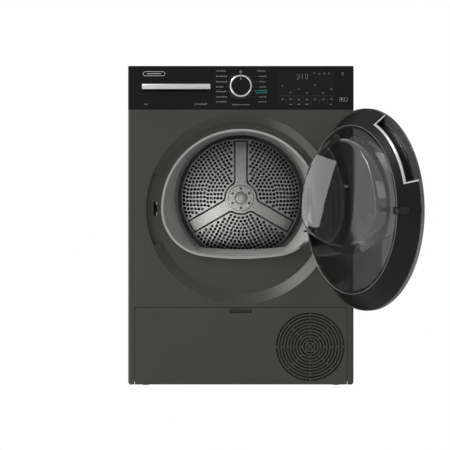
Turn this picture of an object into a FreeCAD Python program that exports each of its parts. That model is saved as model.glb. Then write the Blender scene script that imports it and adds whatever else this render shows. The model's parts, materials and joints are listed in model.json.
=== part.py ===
import FreeCAD, Part
import math
import os

# Condensing clothes dryer with a heat pump, standing on the floor, door open.
# Millimetres.  X to the user's right, Y to the back, Z up.  The origin is on
# the floor, under the middle of the cabinet's footprint.  Names that end in _Y
# and hold a depth are measured back from the cabinet's front plane.

V = FreeCAD.Vector

# ---------------------------------------------------------------- overall
WIDTH = 596.0
DEPTH = 610.0
HEIGHT = 849.0
SHEET = 1.0
PLASTIC = 2.5
FIT = 0.3
EDGE_R = 8.0
SKIRT_Z = 8.0
FLANGE = 8.0
TOP_T = 16.0
FASCIA_H = 115.0
FASCIA_D = 34.0

# ---------------------------------------------------------------- door mouth
DOOR_Z = 472.0
DISH_R = 251.0
DISH_FLOOR_R = 225.0
DISH_D = 20.0
POCKET_R = 249.0
POCKET_HALF_DEG = 22.5
HINGE_POCKET_D = 34.0
OPEN_R = 212.0
OPEN_CORNER_R = 127.0
OPEN_DROP = 133.0
BADGE_W = 57.0
BADGE_H = 36.0
BADGE_Z = 303.0
LATCH_X = 227.0
LATCH_W = 10.0
LATCH_H = 39.0

# ---------------------------------------------------------------- drum
DRUM_Z = 500.0
DRUM_R = 286.0
MOUTH_R = 180.0
MOUTH_CUT = 139.0
MOUTH_CUT_EDGE = 132.0
BULKHEAD_Y = 92.0
BULKHEAD_T = 3.0
DRUM_FRONT_Y = 97.5
DRUM_BACK_Y = 540.0
BACK_STEP = 10.0
PERF_R = 182.0
PERF_PITCH = 12.0
PERF_HOLE_R = 4.5
ARM_HALF_W = 16.5
ARM_SLOPE = 6.0
ARM_DEPTH = 8.0
ARM_REACH = 176.0
ARM_BLEND_R = 18.0
HUB_FLAT_R = 47.0
HUB_PLATE_R = 41.0
HUB_CAP_R = 20.7
HUB_SCREW_R = 30.0
SHAFT_R = 12.5
LIFTER_H = 62.0
LIFTER_W = 74.0
ROLLER_R = 22.0
ROLLER_W = 14.0
ROLLER_DEG = 32.0
AXLE_R = 4.0
RUN = 0.05

# ---------------------------------------------------------------- door
DOOR_R = 249.0
DOOR_FRONT_Y = -38.0
DISC_T = 4.0
TRIM_W = 3.5
TRIM_BACK_Y = -29.0
RING_R = 208.0
RING_Y = 9.0
FRAME_T = 2.5
NOTCH_FROM_DEG = 16.6
NOTCH_TO_DEG = 65.4
NOTCH_R = 225.0
BOWL_R = 180.0
BOWL_DROP = 110.0
BOWL_CORNER_R = 80.0
BOWL_DEPTH = 35.0
BOWL_DRAFT = 6.0
BOWL_RIM = 1.2
HINGE_X = 200.0
HINGE_Y = -21.0
HINGE_PIN_R = 4.0
ARM_Z = 60.0
ARM_T = 3.0
ARM_W = 11.0
DOOR_OPEN_DEG = 117.0

# ---------------------------------------------------------------- fascia
KNOB_R = 29.8
KNOB_CAP_R = 25.0
KNOB_Z = HEIGHT - 54.0
KNOB_H = 18.0
TANK_X0 = 6.0 - WIDTH / 2.0
TANK_X1 = -78.0
TANK_DEPTH = 440.0
BAR_X0 = 37.6 - WIDTH / 2.0
BAR_X1 = -80.5
BAR_Z0 = HEIGHT - 63.6
BAR_Z1 = HEIGHT - 45.9
WINDOW_X0 = 99.5
WINDOW_X1 = 247.8
WINDOW_Z0 = HEIGHT - 102.5
WINDOW_Z1 = HEIGHT - 11.0
BUTTON_X0 = 257.0
BUTTON_X1 = 284.2
BOARD_POST_XS = (70.0, 275.0)
BOARD_EDGE = 9.3
BUTTON_Z0 = HEIGHT - 95.1
BUTTON_Z1 = HEIGHT - 81.6

# ---------------------------------------------------------------- base
FLAP_HALF_W = WIDTH / 2.0 - 18.0
FLAP_TOP = 210.7
FLAP_T = 2.5
FLAP_RIM = 12.0
FLAP_PIVOT_Y = 14.0
FLAP_PIVOT_Z = 20.0
NOTCH_W = 60.0
NOTCH_H = 14.0
GRILLE_X = 183.0
GRILLE_Z = 108.0
GRILLE_RINGS = 11
GRILLE_PITCH = 8.07
GRILLE_SLOT = 4.2
GRILLE_RIB = 4.0
FOOT_X = WIDTH / 2.0 - 43.0
FOOT_Y = DEPTH / 2.0 - 55.0
FOOT_R = 11.5
BASE_Z = 12.0
BASE_FRONT_Y = 30.0
BASE_H = 165.0
TUNNEL_X0 = 26.0 - WIDTH / 2.0
TUNNEL_X1 = -20.0
MOTOR_X = 170.0
MOTOR_Z = 110.0
MOTOR_R = 55.0
PULLEY_R = 16.0
BELT_Y = 320.0
BELT_W = 12.0
BELT_T = 3.0

# ---------------------------------------------------------------- inner parts
SPIGOT_X = 58.0 - WIDTH / 2.0
SPIGOT_Z = 700.0
SPIGOT_R = 9.0
SPIGOT_L = 22.0
INLET_X = WIDTH / 2.0 - 48.0
INLET_Z = 40.0
INLET_R = 11.0
HINGE_SCREW_X = 230.0
HINGE_SCREW_DZ = (-42.0, -14.0, 14.0, 42.0)
FILTER_HALF_W = 92.0
FILTER_Y0 = 58.0
FILTER_Y1 = 74.0
FILTER_Z = 240.0
FILTER_LIP_HALF = 104.0
FILTER_LIP_Y0 = 52.0
FILTER_LIP_Y1 = 82.0
LAMP_Z = 513.0
LAMP_H = 18.0
FILTER_TOP_Z = 365.0
STRIP_Z = 346.5
REAR_Y = 556.0
BEARING_R = 30.0
LATCH_TIP_Y = DISH_D + 14.0
BOARD_Y = 14.0
BUTTON_TRAVEL = 1.5
TANK_GAP = 1.0
DRUM_CLEAR = 4.5
MOTOR_Y0 = -120.0
MOTOR_Y1 = -20.0
FAN_Y0 = -215.0
FAN_Y1 = -140.0
FAN_R = 68.0
COMP_X = 205.0
COMP_Y = 165.0
LEVER_Z = 100.0
LEVER_XS = (-226.0, -38.0)
LEVER_PIN_R = 4.0

# ---------------------------------------------------------------- places
HALF_W = WIDTH / 2.0
FRONT = -DEPTH / 2.0
BACK = DEPTH / 2.0
FASCIA_Z = HEIGHT - FASCIA_H
INNER_X = HALF_W - SHEET
FACE_X = HALF_W - FLANGE
TOP_Z = HEIGHT - TOP_T
PANEL_TOP = FASCIA_Z - 0.5
PANEL_GAP = 0.2
FLAP_GAP = 1.3
FUNNEL_GAP = 0.2
EAR_X = FLAP_HALF_W - 24.0
FUNNEL_Y = DISH_D + SHEET + 4.0


# ---------------------------------------------------------------- tools
def box(x0, x1, y0, y1, z0, z1):
    """Axis-aligned box between two corners."""
    return Part.makeBox(x1 - x0, y1 - y0, z1 - z0, V(x0, y0, z0))


def rod_y(x, z, r, y0, y1):
    return Part.makeCylinder(r, y1 - y0, V(x, y0, z), V(0, 1, 0))


def rod_z(x, y, r, z0, z1):
    return Part.makeCylinder(r, z1 - z0, V(x, y, z0), V(0, 0, 1))


def rod_x(y, z, r, x0, x1):
    return Part.makeCylinder(r, x1 - x0, V(x0, y, z), V(1, 0, 0))


def turned(points, x=0.0, z=0.0):
    """Solid of revolution about the Y line through x, z, from (radius, y) points."""
    loop = [V(x + r, y, z) for r, y in points]
    face = Part.Face(Part.makePolygon(loop + loop[:1]))
    return face.revolve(V(x, 0, z), V(0, 1, 0), 360)


def slab(wire, depth):
    """A closed wire in an XZ plane, thickened towards the back."""
    return Part.Face(wire).extrude(V(0, depth, 0))


def bored(outer, holes, depth):
    """A flat plate with its holes, made from its outlines in one step."""
    face = Part.Face(outer).cut(Part.makeCompound([Part.Face(h) for h in holes]))
    return face.extrude(V(0, depth, 0))


def circle_wire(x, y, z, r):
    edge = Part.makeCircle(r, V(x, y, z), V(0, 1, 0))
    return Part.Wire(edge)


def round_rect(x0, x1, z0, z1, r, y):
    """Rounded rectangle in an XZ plane."""
    plate = Part.makeBox(x1 - x0, 1.0, z1 - z0, V(x0, y, z0))
    corners = [e for e in plate.Edges if abs(e.tangentAt(e.FirstParameter).y) > 0.9]
    plate = plate.makeFillet(r, corners)
    flat = [f for f in plate.Faces if abs(f.CenterOfMass.y - y) < 1e-6][0]
    return flat.OuterWire


def lobe(top_r, corner_r, drop, zc, y):
    """Round-topped opening: a top arc, two tighter corners, and a flat bottom arc."""
    a = top_r - corner_r
    bottom_r = (drop ** 2 + a ** 2 - corner_r ** 2) / (2.0 * (drop - corner_r))
    centre_z = zc - drop + bottom_r
    reach = math.hypot(a, zc - centre_z)
    tx = a * bottom_r / reach
    tz = centre_z + (zc - centre_z) * bottom_r / reach
    turn = math.atan2(tz - zc, tx - a) / 2.0
    mx = a + corner_r * math.cos(turn)
    mz = zc + corner_r * math.sin(turn)
    arcs = [
        (V(top_r, y, zc), V(0, y, zc + top_r), V(-top_r, y, zc)),
        (V(-top_r, y, zc), V(-mx, y, mz), V(-tx, y, tz)),
        (V(-tx, y, tz), V(0, y, zc - drop), V(tx, y, tz)),
        (V(tx, y, tz), V(mx, y, mz), V(top_r, y, zc)),
    ]
    return Part.Wire([Part.Arc(*three).toShape() for three in arcs])


def opening(grow, y):
    """The outline of the door mouth in the cabinet, grown all round."""
    return lobe(OPEN_R + grow, OPEN_CORNER_R + grow, OPEN_DROP + grow, DOOR_Z, y)


def throat(grow, y):
    """The drum mouth: a circle cut off by a shallow arc at the lint filter."""
    r = MOUTH_R + grow
    cut = MOUTH_CUT + grow
    edge = MOUTH_CUT_EDGE + grow
    ex = math.sqrt(r ** 2 - edge ** 2)
    turn = math.atan2(-edge, ex) / 2.0
    mx = r * math.cos(turn)
    mz = DRUM_Z + r * math.sin(turn)
    arcs = [
        (V(r, y, DRUM_Z), V(0, y, DRUM_Z + r), V(-r, y, DRUM_Z)),
        (V(-r, y, DRUM_Z), V(-mx, y, mz), V(-ex, y, DRUM_Z - edge)),
        (V(-ex, y, DRUM_Z - edge), V(0, y, DRUM_Z - cut), V(ex, y, DRUM_Z - edge)),
        (V(ex, y, DRUM_Z - edge), V(mx, y, mz), V(r, y, DRUM_Z)),
    ]
    return Part.Wire([Part.Arc(*three).toShape() for three in arcs])


def sector(r, from_deg, to_deg, y0, y1, z=DOOR_Z):
    """Pie slice about the door's centre, angles from +X towards +Z."""
    pts = [(0.0, 0.0)]
    for deg in (from_deg, (from_deg + to_deg) / 2.0, to_deg):
        pts.append((r * math.cos(math.radians(deg)), r * math.sin(math.radians(deg))))
    a, b, c, d = [V(px, y0, z + pz) for px, pz in pts]
    wire = Part.Wire([Part.makeLine(a, b), Part.Arc(b, c, d).toShape(), Part.makeLine(d, a)])
    return slab(wire, y1 - y0)


def capsule(x0, y0, x1, y1, width, z0, z1):
    """Flat bar with round ends, lying level."""
    length = math.hypot(x1 - x0, y1 - y0)
    bar = box(0, length, -width / 2.0, width / 2.0, z0, z1)
    bar = bar.fuse([rod_z(0, 0, width / 2.0, z0, z1), rod_z(length, 0, width / 2.0, z0, z1)])
    bar.rotate(V(0, 0, 0), V(0, 0, 1), math.degrees(math.atan2(y1 - y0, x1 - x0)))
    bar.translate(V(x0, y0, 0))
    return bar


def tube_run(points, r):
    """Round tube along straight runs, with a ball at each bend."""
    parts = []
    for a, b in zip(points, points[1:]):
        start = V(*a)
        along = V(*b) - start
        parts.append(Part.makeCylinder(r, along.Length, start, along))
    for p in points[1:-1]:
        parts.append(Part.makeSphere(r, V(*p)))
    return parts[0].fuse(parts[1:])


def joined(parts):
    """One solid from touching or overlapping pieces."""
    return parts[0].fuse(parts[1:]).removeSplitter()


def opened(shape):
    """Swing a door piece from closed to the stored, open place."""
    shape.rotate(V(HINGE_X, FRONT + HINGE_Y, 0), V(0, 0, 1), DOOR_OPEN_DEG)
    return shape


def write(node, shape):
    solids = [s for s in shape.Solids if s.Volume > 1e-3]
    out = solids[0] if len(solids) == 1 else Part.makeCompound(solids)
    out.exportStep(f"parts/{node}.step")
    print(node, len(solids), "solids", out.isValid(), round(out.Volume / 1000.0, 1), "cm3")


# ---------------------------------------------------------------- casing
def side_panel(side):
    """Steel side with a front flange and a bottom flange, bent with a round corner."""
    def shell(x0, y0, z0, r):
        s = box(x0, -FACE_X, y0, BACK, z0, TOP_Z)
        s = s.makeFillet(r, [e for e in s.Edges if on_corner(e, x0, y0, z0)])
        return s

    def on_corner(e, x0, y0, z0):
        ends = [v.Point for v in e.Vertexes]
        upright = all(abs(p.x - x0) < 1e-6 and abs(p.y - y0) < 1e-6 for p in ends)
        low = all(abs(p.x - x0) < 1e-6 and abs(p.z - z0) < 1e-6 for p in ends)
        return upright or low

    outer = shell(-HALF_W, FRONT, SKIRT_Z, EDGE_R - 0.1)
    inner = shell(-INNER_X, FRONT + SHEET, SKIRT_Z + SHEET, EDGE_R - SHEET - 0.1)
    panel = outer.cut(inner)
    panel = panel.cut(box(-HALF_W - 1, 0, FRONT - 1, FRONT + FASCIA_D, FASCIA_Z, TOP_Z + 1))
    if side > 0:
        panel = panel.mirror(V(0, 0, 0), V(1, 0, 0))
    return panel


def worktop():
    """Moulded top with a hollow underside."""
    top = box(-HALF_W, HALF_W, FRONT + FASCIA_D, BACK, TOP_Z, HEIGHT)
    up = [e for e in top.Edges if abs(e.tangentAt(e.FirstParameter).z) > 0.9
          and e.CenterOfMass.y > 0]
    top = top.makeFillet(6.0, up)
    hollow = box(-HALF_W + 12, HALF_W - 12, FRONT + FASCIA_D + 8, BACK - 12, TOP_Z - 1, HEIGHT - 3)
    return top.cut(hollow)


def rear_panel():
    """Back sheet folded forward at its edges, with vents, and holes for drain and mains."""
    x = INNER_X
    plate = box(-x, x, BACK - SHEET, BACK, SKIRT_Z + FLANGE, TOP_Z)
    folds = [box(-x, -x + SHEET, BACK - 14, BACK, SKIRT_Z + FLANGE, TOP_Z),
             box(x - SHEET, x, BACK - 14, BACK, SKIRT_Z + FLANGE, TOP_Z),
             box(-x, x, BACK - 14, BACK, TOP_Z - SHEET, TOP_Z)]
    panel = joined([plate] + folds)
    slots = [box(x0, x0 + 60, BACK - 2, BACK + 1, z, z + 5)
             for x0 in (60.0, 135.0, 210.0) for z in range(60, 190, 14)]
    holes = slots + [rod_y(SPIGOT_X, SPIGOT_Z, SPIGOT_R - 0.9, BACK - 2, BACK + 1),
                     rod_y(INLET_X, INLET_Z, INLET_R + 0.2, BACK - 2, BACK + 1)]
    return panel.cut(holes)


def pocket_slice(side, grow, depth):
    mid = 180.0 if side < 0 else 0.0
    half = POCKET_HALF_DEG + math.degrees(grow / POCKET_R)
    return sector(POCKET_R + grow, mid - half, mid + half, FRONT - 1, FRONT + depth)


def front_panel():
    """Pressed sheet: round dish, latch pocket, hinge pocket, mouth, badge and latch slot."""
    x = FACE_X - PANEL_GAP
    plate = box(-x, x, FRONT, FRONT + SHEET, SKIRT_Z + 0.3, PANEL_TOP)
    dish = turned([(0, FRONT), (DISH_R, FRONT), (DISH_FLOOR_R, FRONT + DISH_D),
                   (0, FRONT + DISH_D)], 0, DOOR_Z)
    back = turned([(0, FRONT), (DISH_R + SHEET, FRONT), (DISH_FLOOR_R + SHEET, FRONT + DISH_D + SHEET),
                   (0, FRONT + DISH_D + SHEET)], 0, DOOR_Z)
    void = dish.fuse([pocket_slice(-1, 0, DISH_D), pocket_slice(1, 0, HINGE_POCKET_D)])
    mass = back.fuse([pocket_slice(-1, SHEET, DISH_D + SHEET),
                      pocket_slice(1, SHEET, HINGE_POCKET_D + SHEET)])
    mass = mass.common(box(-x, x, FRONT, FRONT + 60, SKIRT_Z, PANEL_TOP))
    edge_l = box(-x, -x + SHEET, FRONT, FRONT + FLANGE, SKIRT_Z + 0.3, PANEL_TOP)
    edge_r = box(x - SHEET, x, FRONT, FRONT + FLANGE, SKIRT_Z + 0.3, PANEL_TOP)
    shelf = box(-x, x, FRONT, FRONT + BASE_FRONT_Y, FLAP_TOP + FLAP_GAP,
                FLAP_TOP + FLAP_GAP + SHEET)
    panel = joined([plate, mass, edge_l, edge_r, shelf])
    door_mouth = slab(opening(0, FRONT - 1), 60)
    flap_bay = box(-FLAP_HALF_W - 1, FLAP_HALF_W + 1, FRONT - 1, FRONT + 60, 0,
                   FLAP_TOP + FLAP_GAP)
    slot = slab(round_rect(-LATCH_X - LATCH_W / 2, -LATCH_X + LATCH_W / 2, DOOR_Z - LATCH_H / 2,
                           DOOR_Z + LATCH_H / 2, 4.9, FRONT), 60)
    floor_y = FRONT + DISH_D
    ridge = slab(round_rect(-BADGE_W / 2, BADGE_W / 2, BADGE_Z - BADGE_H / 2,
                            BADGE_Z + BADGE_H / 2, 2.0, floor_y - 0.5), 1.0)
    ridge = ridge.cut(slab(round_rect(-BADGE_W / 2 + 1.6, BADGE_W / 2 - 1.6, BADGE_Z - BADGE_H / 2 + 1.6,
                                      BADGE_Z + BADGE_H / 2 - 1.6, 1.0, floor_y - 2), 4))
    screws = [rod_y(HINGE_SCREW_X, DOOR_Z + dz, 2.6, FRONT, FRONT + 60) for dz in HINGE_SCREW_DZ]
    return panel.cut([void, door_mouth, flap_bay, slot] + screws).fuse(ridge).removeSplitter()


def mouth_seal():
    """Soft lip round the door mouth that the closed door's ring almost meets."""
    start = RING_Y + BOWL_RIM + FIT
    outer = slab(opening(-0.4, FRONT + start), DISH_D - start + 12)
    inner = slab(opening(-6.5, FRONT + RING_Y - 1), 60)
    lip = outer.cut(inner)
    tail = slab(opening(-0.4, FRONT + DISH_D + SHEET), 4).cut(inner)
    lip = lip.common(box(-300, 300, FRONT, FRONT + DISH_D + SHEET + 4, 0, HEIGHT)).fuse(tail)
    reach = math.hypot(DOOR_R - HINGE_X, DOOR_FRONT_Y - HINGE_Y) + 2.5
    sweep = rod_z(HINGE_X, FRONT + HINGE_Y, reach, DOOR_Z - 110, DOOR_Z + 110)
    return lip.removeSplitter().cut(sweep)


def funnel(wide, narrow_end):
    """Solid loft from the door mouth back to the drum mouth."""
    return Part.makeLoft([opening(wide - FUNNEL_GAP, FRONT + FUNNEL_Y),
                          throat(narrow_end, FRONT + BULKHEAD_Y)], True, True)


def front_bulkhead():
    """Grey funnel from the door mouth to the drum mouth, its plate, and the filter shaft."""
    y0 = FRONT + FUNNEL_Y
    y1 = FRONT + BULKHEAD_Y
    wide = funnel(0, PLASTIC)
    cone = wide.cut(funnel(-PLASTIC, 0))
    rim = slab(opening(14, y0 - 4), 7).cut(slab(opening(-FUNNEL_GAP, y0 - 5), 5))
    rim = rim.cut(slab(opening(-FUNNEL_GAP - PLASTIC, y0 - 5), 20))
    plate = box(-INNER_X, INNER_X, y1, y1 + BULKHEAD_T, FLAP_TOP + 8, FASCIA_Z)
    plate = plate.cut(slab(throat(0, y1 - 1), 20))
    legs = [box(s * INNER_X - (3 if s > 0 else 0), s * INNER_X + (3 if s < 0 else 0),
                FRONT + FLANGE + SHEET, y1, FLAP_TOP + 8, FASCIA_Z) for s in (-1, 1)]
    body = joined([cone, rim, plate] + legs)
    shaft_out = box(-FILTER_HALF_W - 4, FILTER_HALF_W + 4, FRONT + FILTER_Y0 - 4,
                    FRONT + FILTER_Y1 + 4, FILTER_Z - 4, 350)
    shaft_in = box(-FILTER_HALF_W - 1, FILTER_HALF_W + 1, FRONT + FILTER_Y0 - 1,
                   FRONT + FILTER_Y1 + 1, FILTER_Z - 1, 380)
    lowered = wide.copy()
    lowered.translate(V(0, 0, -0.5))
    shaft = shaft_out.cut([wide, lowered]).cut(shaft_in)
    ribs = [box(x - 1.25, x + 1.25, FRONT + FILTER_Y1 + 3, y1, FILTER_Z, 330) for x in (-90, 0, 90)]
    body = body.cut(filter_seat(0.5)).fuse([shaft] + ribs).cut(shaft_in)
    pocket = pocket_slice(1, SHEET + 0.2, HINGE_POCKET_D + SHEET + 0.2)
    slots = [box(150, 215, FRONT + 20, FRONT + 62, DOOR_Z + s * ARM_Z - ARM_T / 2 - 2,
                 DOOR_Z + s * ARM_Z + ARM_T / 2 + 2) for s in (-1, 1)]
    plate_room = box(196, 250, FRONT + HINGE_POCKET_D, FRONT + 52, DOOR_Z - ARM_Z - 12,
                     DOOR_Z + ARM_Z + 12)
    lamp_hole = box(150, 215, FRONT + 54, FRONT + 70, LAMP_Z - LAMP_H / 2, LAMP_Z + LAMP_H / 2)
    body = body.cut([pocket, latch_blade(2.0)] + slots + [plate_room, lamp_hole])
    axles = [rod_y(x, z, AXLE_R, y1 - 5, y1 + 20) for x, z in roller_centres()]
    strips = [sensor_strip(s, 0.2) for s in (-1, 1)]
    return body.cut(axles + strips)


def filter_seat(grow):
    return box(-FILTER_LIP_HALF - grow, FILTER_LIP_HALF + grow, FRONT + FILTER_LIP_Y0 - grow,
               FRONT + FILTER_LIP_Y1 + grow, 200, 420).cut(
        box(-400, 400, FRONT, FRONT + 200, 0, FILTER_TOP_Z - 30))


def filter_frame():
    """Lint filter: a slotted top that follows the lip, over a tall frame for the mesh."""
    top = funnel(0, PLASTIC).cut(funnel(-PLASTIC, 0)).common(filter_seat(0))
    slots = []
    for row_y in (FILTER_LIP_Y0 + 5, FILTER_LIP_Y0 + 21):
        for i in range(-15, 16):
            slots.append(box(i * 6.2 - 1.6, i * 6.2 + 1.6, FRONT + row_y, FRONT + row_y + 5, 300, 400))
    top = top.cut(slots)
    block = box(-FILTER_HALF_W, FILTER_HALF_W, FRONT + FILTER_Y0, FRONT + FILTER_Y1, FILTER_Z, 360)
    block = block.cut(funnel(1 - PLASTIC, 1))
    hollow = box(-FILTER_HALF_W + 3, FILTER_HALF_W - 3, FRONT + FILTER_Y0 + 2.5,
                 FRONT + FILTER_Y1 - 2.5, FILTER_Z + 3, 400)
    windows = [box(x0, x0 + 52, FRONT + FILTER_Y0 - 1, FRONT + FILTER_Y1 + 1, FILTER_Z + 12, 330)
               for x0 in (-84.0, -26.0, 32.0)]
    return joined([top, block.cut([hollow] + windows)])


def filter_mesh():
    """Two fine screens, front and back, held in the inner faces of the frame."""
    screens = []
    for y0 in (FILTER_Y0 + 2.5, FILTER_Y1 - 3.1):
        screens.append(box(-FILTER_HALF_W + 4, FILTER_HALF_W - 4, FRONT + y0, FRONT + y0 + 0.6,
                           FILTER_Z + 4, 336))
    return Part.makeCompound(screens)


def sensor_strip(side, grow):
    """One stainless moisture strip, let into the lip in front of the filter."""
    x0, x1 = sorted((side * 12.0, side * 37.0))
    return box(x0 - grow, x1 + grow, FRONT + 38 - grow, FRONT + 44 + grow, STRIP_Z - 6, STRIP_Z)


def roller_centres():
    reach = DRUM_R + ROLLER_R + FIT
    a = math.radians(ROLLER_DEG)
    return [(s * reach * math.sin(a), DRUM_Z - reach * math.cos(a)) for s in (-1, 1)]


def roller(side):
    x, z = roller_centres()[0 if side < 0 else 1]
    y0 = FRONT + DRUM_FRONT_Y + 6
    wheel = rod_y(x, z, ROLLER_R, y0, y0 + ROLLER_W)
    groove = rod_y(x, z, ROLLER_R - 5, y0 - 1, y0 + 2).cut(rod_y(x, z, AXLE_R + 4, y0 - 1, y0 + 2))
    return wheel.cut([rod_y(x, z, AXLE_R + RUN, y0 - 1, y0 + ROLLER_W + 1), groove])


def roller_axles():
    """Stepped pins from the bulkhead plate, with a head that keeps each roller on."""
    y0 = FRONT + BULKHEAD_Y
    wheel_y = FRONT + DRUM_FRONT_Y + 6
    pins = []
    for x, z in roller_centres():
        pin = rod_y(x, z, AXLE_R, y0 - 5, wheel_y + ROLLER_W + 3)
        collar = rod_y(x, z, AXLE_R + 3, y0 + BULKHEAD_T, wheel_y - 0.5)
        head = rod_y(x, z, AXLE_R + 3, wheel_y + ROLLER_W + 0.5, wheel_y + ROLLER_W + 3)
        pins.append(joined([pin, collar, head]))
    return Part.makeCompound(pins)


def front_felt_seal():
    y0 = FRONT + BULKHEAD_Y + BULKHEAD_T
    y1 = FRONT + DRUM_FRONT_Y - FIT
    return turned([(192, y0), (212, y0), (212, y1), (192, y1)], 0, DRUM_Z)


def drum_lamp_lens():
    x0 = 188.5
    lens = box(x0, x0 + 9, FRONT + 54.2, FRONT + 69.8, LAMP_Z - LAMP_H / 2 + 0.2,
               LAMP_Z + LAMP_H / 2 - 0.2)
    edges = [e for e in lens.Edges if abs(e.tangentAt(e.FirstParameter).z) > 0.9
             and e.CenterOfMass.x < x0 + 1]
    return lens.makeFillet(3.0, edges)


def rear_bulkhead():
    """Rear plate that carries the drum bearing, with rings of air holes behind the drum."""
    y0 = FRONT + REAR_Y
    outer = Part.makePolygon([V(-INNER_X, y0, FLAP_TOP + 8), V(INNER_X, y0, FLAP_TOP + 8),
                              V(INNER_X, y0, TOP_Z), V(-INNER_X, y0, TOP_Z),
                              V(-INNER_X, y0, FLAP_TOP + 8)])
    holes = [circle_wire(0, y0, DRUM_Z, BEARING_R)]
    for ring_r in (90.0, 120.0, 150.0):
        for i in range(24):
            a = math.radians(i * 15)
            holes.append(circle_wire(ring_r * math.cos(a), y0, DRUM_Z + ring_r * math.sin(a), 8.0))
    plate = bored(outer, holes, 2.0)
    boss = turned([(BEARING_R, y0), (BEARING_R + 5, y0), (BEARING_R + 5, y0 + 24),
                   (BEARING_R, y0 + 24)], 0, DRUM_Z)
    return joined([plate, boss])


def drum_bearing():
    y0 = FRONT + REAR_Y
    return turned([(SHAFT_R + RUN, y0), (BEARING_R, y0), (BEARING_R, y0 + 22),
                   (SHAFT_R + RUN, y0 + 22)], 0, DRUM_Z)


# ---------------------------------------------------------------- drum
def drum_shell():
    y0 = FRONT + DRUM_FRONT_Y
    y1 = FRONT + DRUM_BACK_Y + 5
    r = DRUM_R
    pts = [(MOUTH_R + 6, y0), (r, y0), (r, y1), (r - SHEET, y1), (r - SHEET, y0 + SHEET),
           (MOUTH_R + 7, y0 + SHEET), (MOUTH_R + 7, y0 + 8), (MOUTH_R + 6, y0 + 8)]
    shell = turned(pts, 0, DRUM_Z)
    beads = [turned([(r - SHEET - 1.5, FRONT + b), (r - SHEET, FRONT + b - 3), (r - SHEET, FRONT + b + 3)],
                    0, DRUM_Z) for b in (150, 500)]
    return joined([shell] + beads)


def star_wire(extra, y):
    """Three-armed star: arms at 90, 210 and 330 degrees, blended into a round hub."""
    w = ARM_HALF_W + extra
    hub = HUB_FLAT_R + extra
    blend = ARM_BLEND_R - extra
    end = ARM_REACH + extra / 2
    cu = math.sqrt((hub + blend) ** 2 - (w + blend) ** 2)
    cv = w + blend
    tu, tv = cu * hub / (hub + blend), cv * hub / (hub + blend)
    bu, bv = -cu / (hub + blend), -1.0 - cv / (hub + blend)
    norm = math.hypot(bu, bv)
    mu, mv = cu + blend * bu / norm, cv + blend * bv / norm

    def at(deg, u, v):
        c, s = math.cos(math.radians(deg)), math.sin(math.radians(deg))
        return V(u * c - v * s, y, DRUM_Z + u * s + v * c)

    edges = []
    for deg in (90, 210, 330):
        near = at(deg + 120, tu, -tv)
        edges += [Part.Arc(at(deg, tu, -tv), at(deg, mu, -mv), at(deg, cu, -w)).toShape(),
                  Part.makeLine(at(deg, cu, -w), at(deg, end, -w)),
                  Part.makeLine(at(deg, end, -w), at(deg, end, w)),
                  Part.makeLine(at(deg, end, w), at(deg, cu, w)),
                  Part.Arc(at(deg, cu, w), at(deg, mu, mv), at(deg, tu, tv)).toShape(),
                  Part.Arc(at(deg, tu, tv), at(deg + 60, hub, 0), near).toShape()]
    return Part.Wire(edges)


def perforations(y):
    """Staggered rings of holes that stay clear of the star."""
    holes = []
    ring = 0
    r = PERF_R - PERF_HOLE_R
    while r > HUB_FLAT_R + 14:
        count = int(2 * math.pi * r / PERF_PITCH / 3) * 3
        for i in range(count):
            a = 2 * math.pi * (i + 0.5 * (ring % 2)) / count + math.pi / 2
            x, z = r * math.cos(a), r * math.sin(a)
            clear = True
            for deg in (90, 210, 330):
                c, s = math.cos(math.radians(deg)), math.sin(math.radians(deg))
                if x * c + z * s > 0 and abs(x * s - z * c) < ARM_HALF_W + ARM_SLOPE + PERF_HOLE_R + 1.5:
                    clear = False
            if clear:
                holes.append(circle_wire(x, y, DRUM_Z + z, PERF_HOLE_R))
        r -= PERF_PITCH * 0.88
        ring += 1
    return holes


def drum_back():
    """Perforated end wall with a star pressed to the rear and a stepped outer band."""
    y0 = FRONT + DRUM_BACK_Y
    flat_r = PERF_R + 3
    flat = bored(circle_wire(0, y0, DRUM_Z, flat_r),
                 [star_wire(ARM_SLOPE, y0)] + perforations(y0), SHEET)
    step = turned([(flat_r, y0), (flat_r, y0 + SHEET), (flat_r + BACK_STEP + 1, y0 - BACK_STEP + SHEET),
                   (DRUM_R - SHEET, y0 - BACK_STEP + SHEET), (DRUM_R - SHEET, y0 - BACK_STEP),
                   (flat_r + BACK_STEP, y0 - BACK_STEP)], 0, DRUM_Z)
    outer = Part.makeLoft([star_wire(ARM_SLOPE, y0), star_wire(0, y0 + ARM_DEPTH)], True, True)
    skin = slab(star_wire(ARM_SLOPE, y0), SHEET)
    below = outer.copy()
    below.translate(V(0, SHEET, 0))
    pressed = joined([below, skin]).cut(outer)
    pressed = pressed.cut(rod_y(0, DRUM_Z, SHAFT_R + 0.5, y0, y0 + 40))
    return joined([flat, step, pressed])


def drum_hub():
    """Rounded plate, cap and shaft: the shaft leaves through the end wall."""
    y = FRONT + DRUM_BACK_Y + ARM_DEPTH
    plate = turned([(0, y - 3), (HUB_PLATE_R - 2, y - 3), (HUB_PLATE_R, y - 1.5), (HUB_PLATE_R, y),
                    (0, y)], 0, DRUM_Z)
    cap = turned([(0, y - 9), (HUB_CAP_R * 0.4, y - 9), (HUB_CAP_R * 0.45, y - 7.5),
                  (HUB_CAP_R * 0.75, y - 7.5), (HUB_CAP_R - 1, y - 7), (HUB_CAP_R, y - 5.5),
                  (HUB_CAP_R, y - 3), (0, y - 3)], 0, DRUM_Z)
    shaft = rod_y(0, DRUM_Z, SHAFT_R, y, FRONT + REAR_Y + 26)
    seats = [rod_y(x, z, 4.2, y - 4, y - 2.2) for x, z in hub_screw_places()]
    return joined([plate, cap, shaft]).cut(seats)


def hub_screw_places():
    return [(HUB_SCREW_R * math.cos(math.radians(d)), DRUM_Z + HUB_SCREW_R * math.sin(math.radians(d)))
            for d in range(30, 390, 60)]


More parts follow.
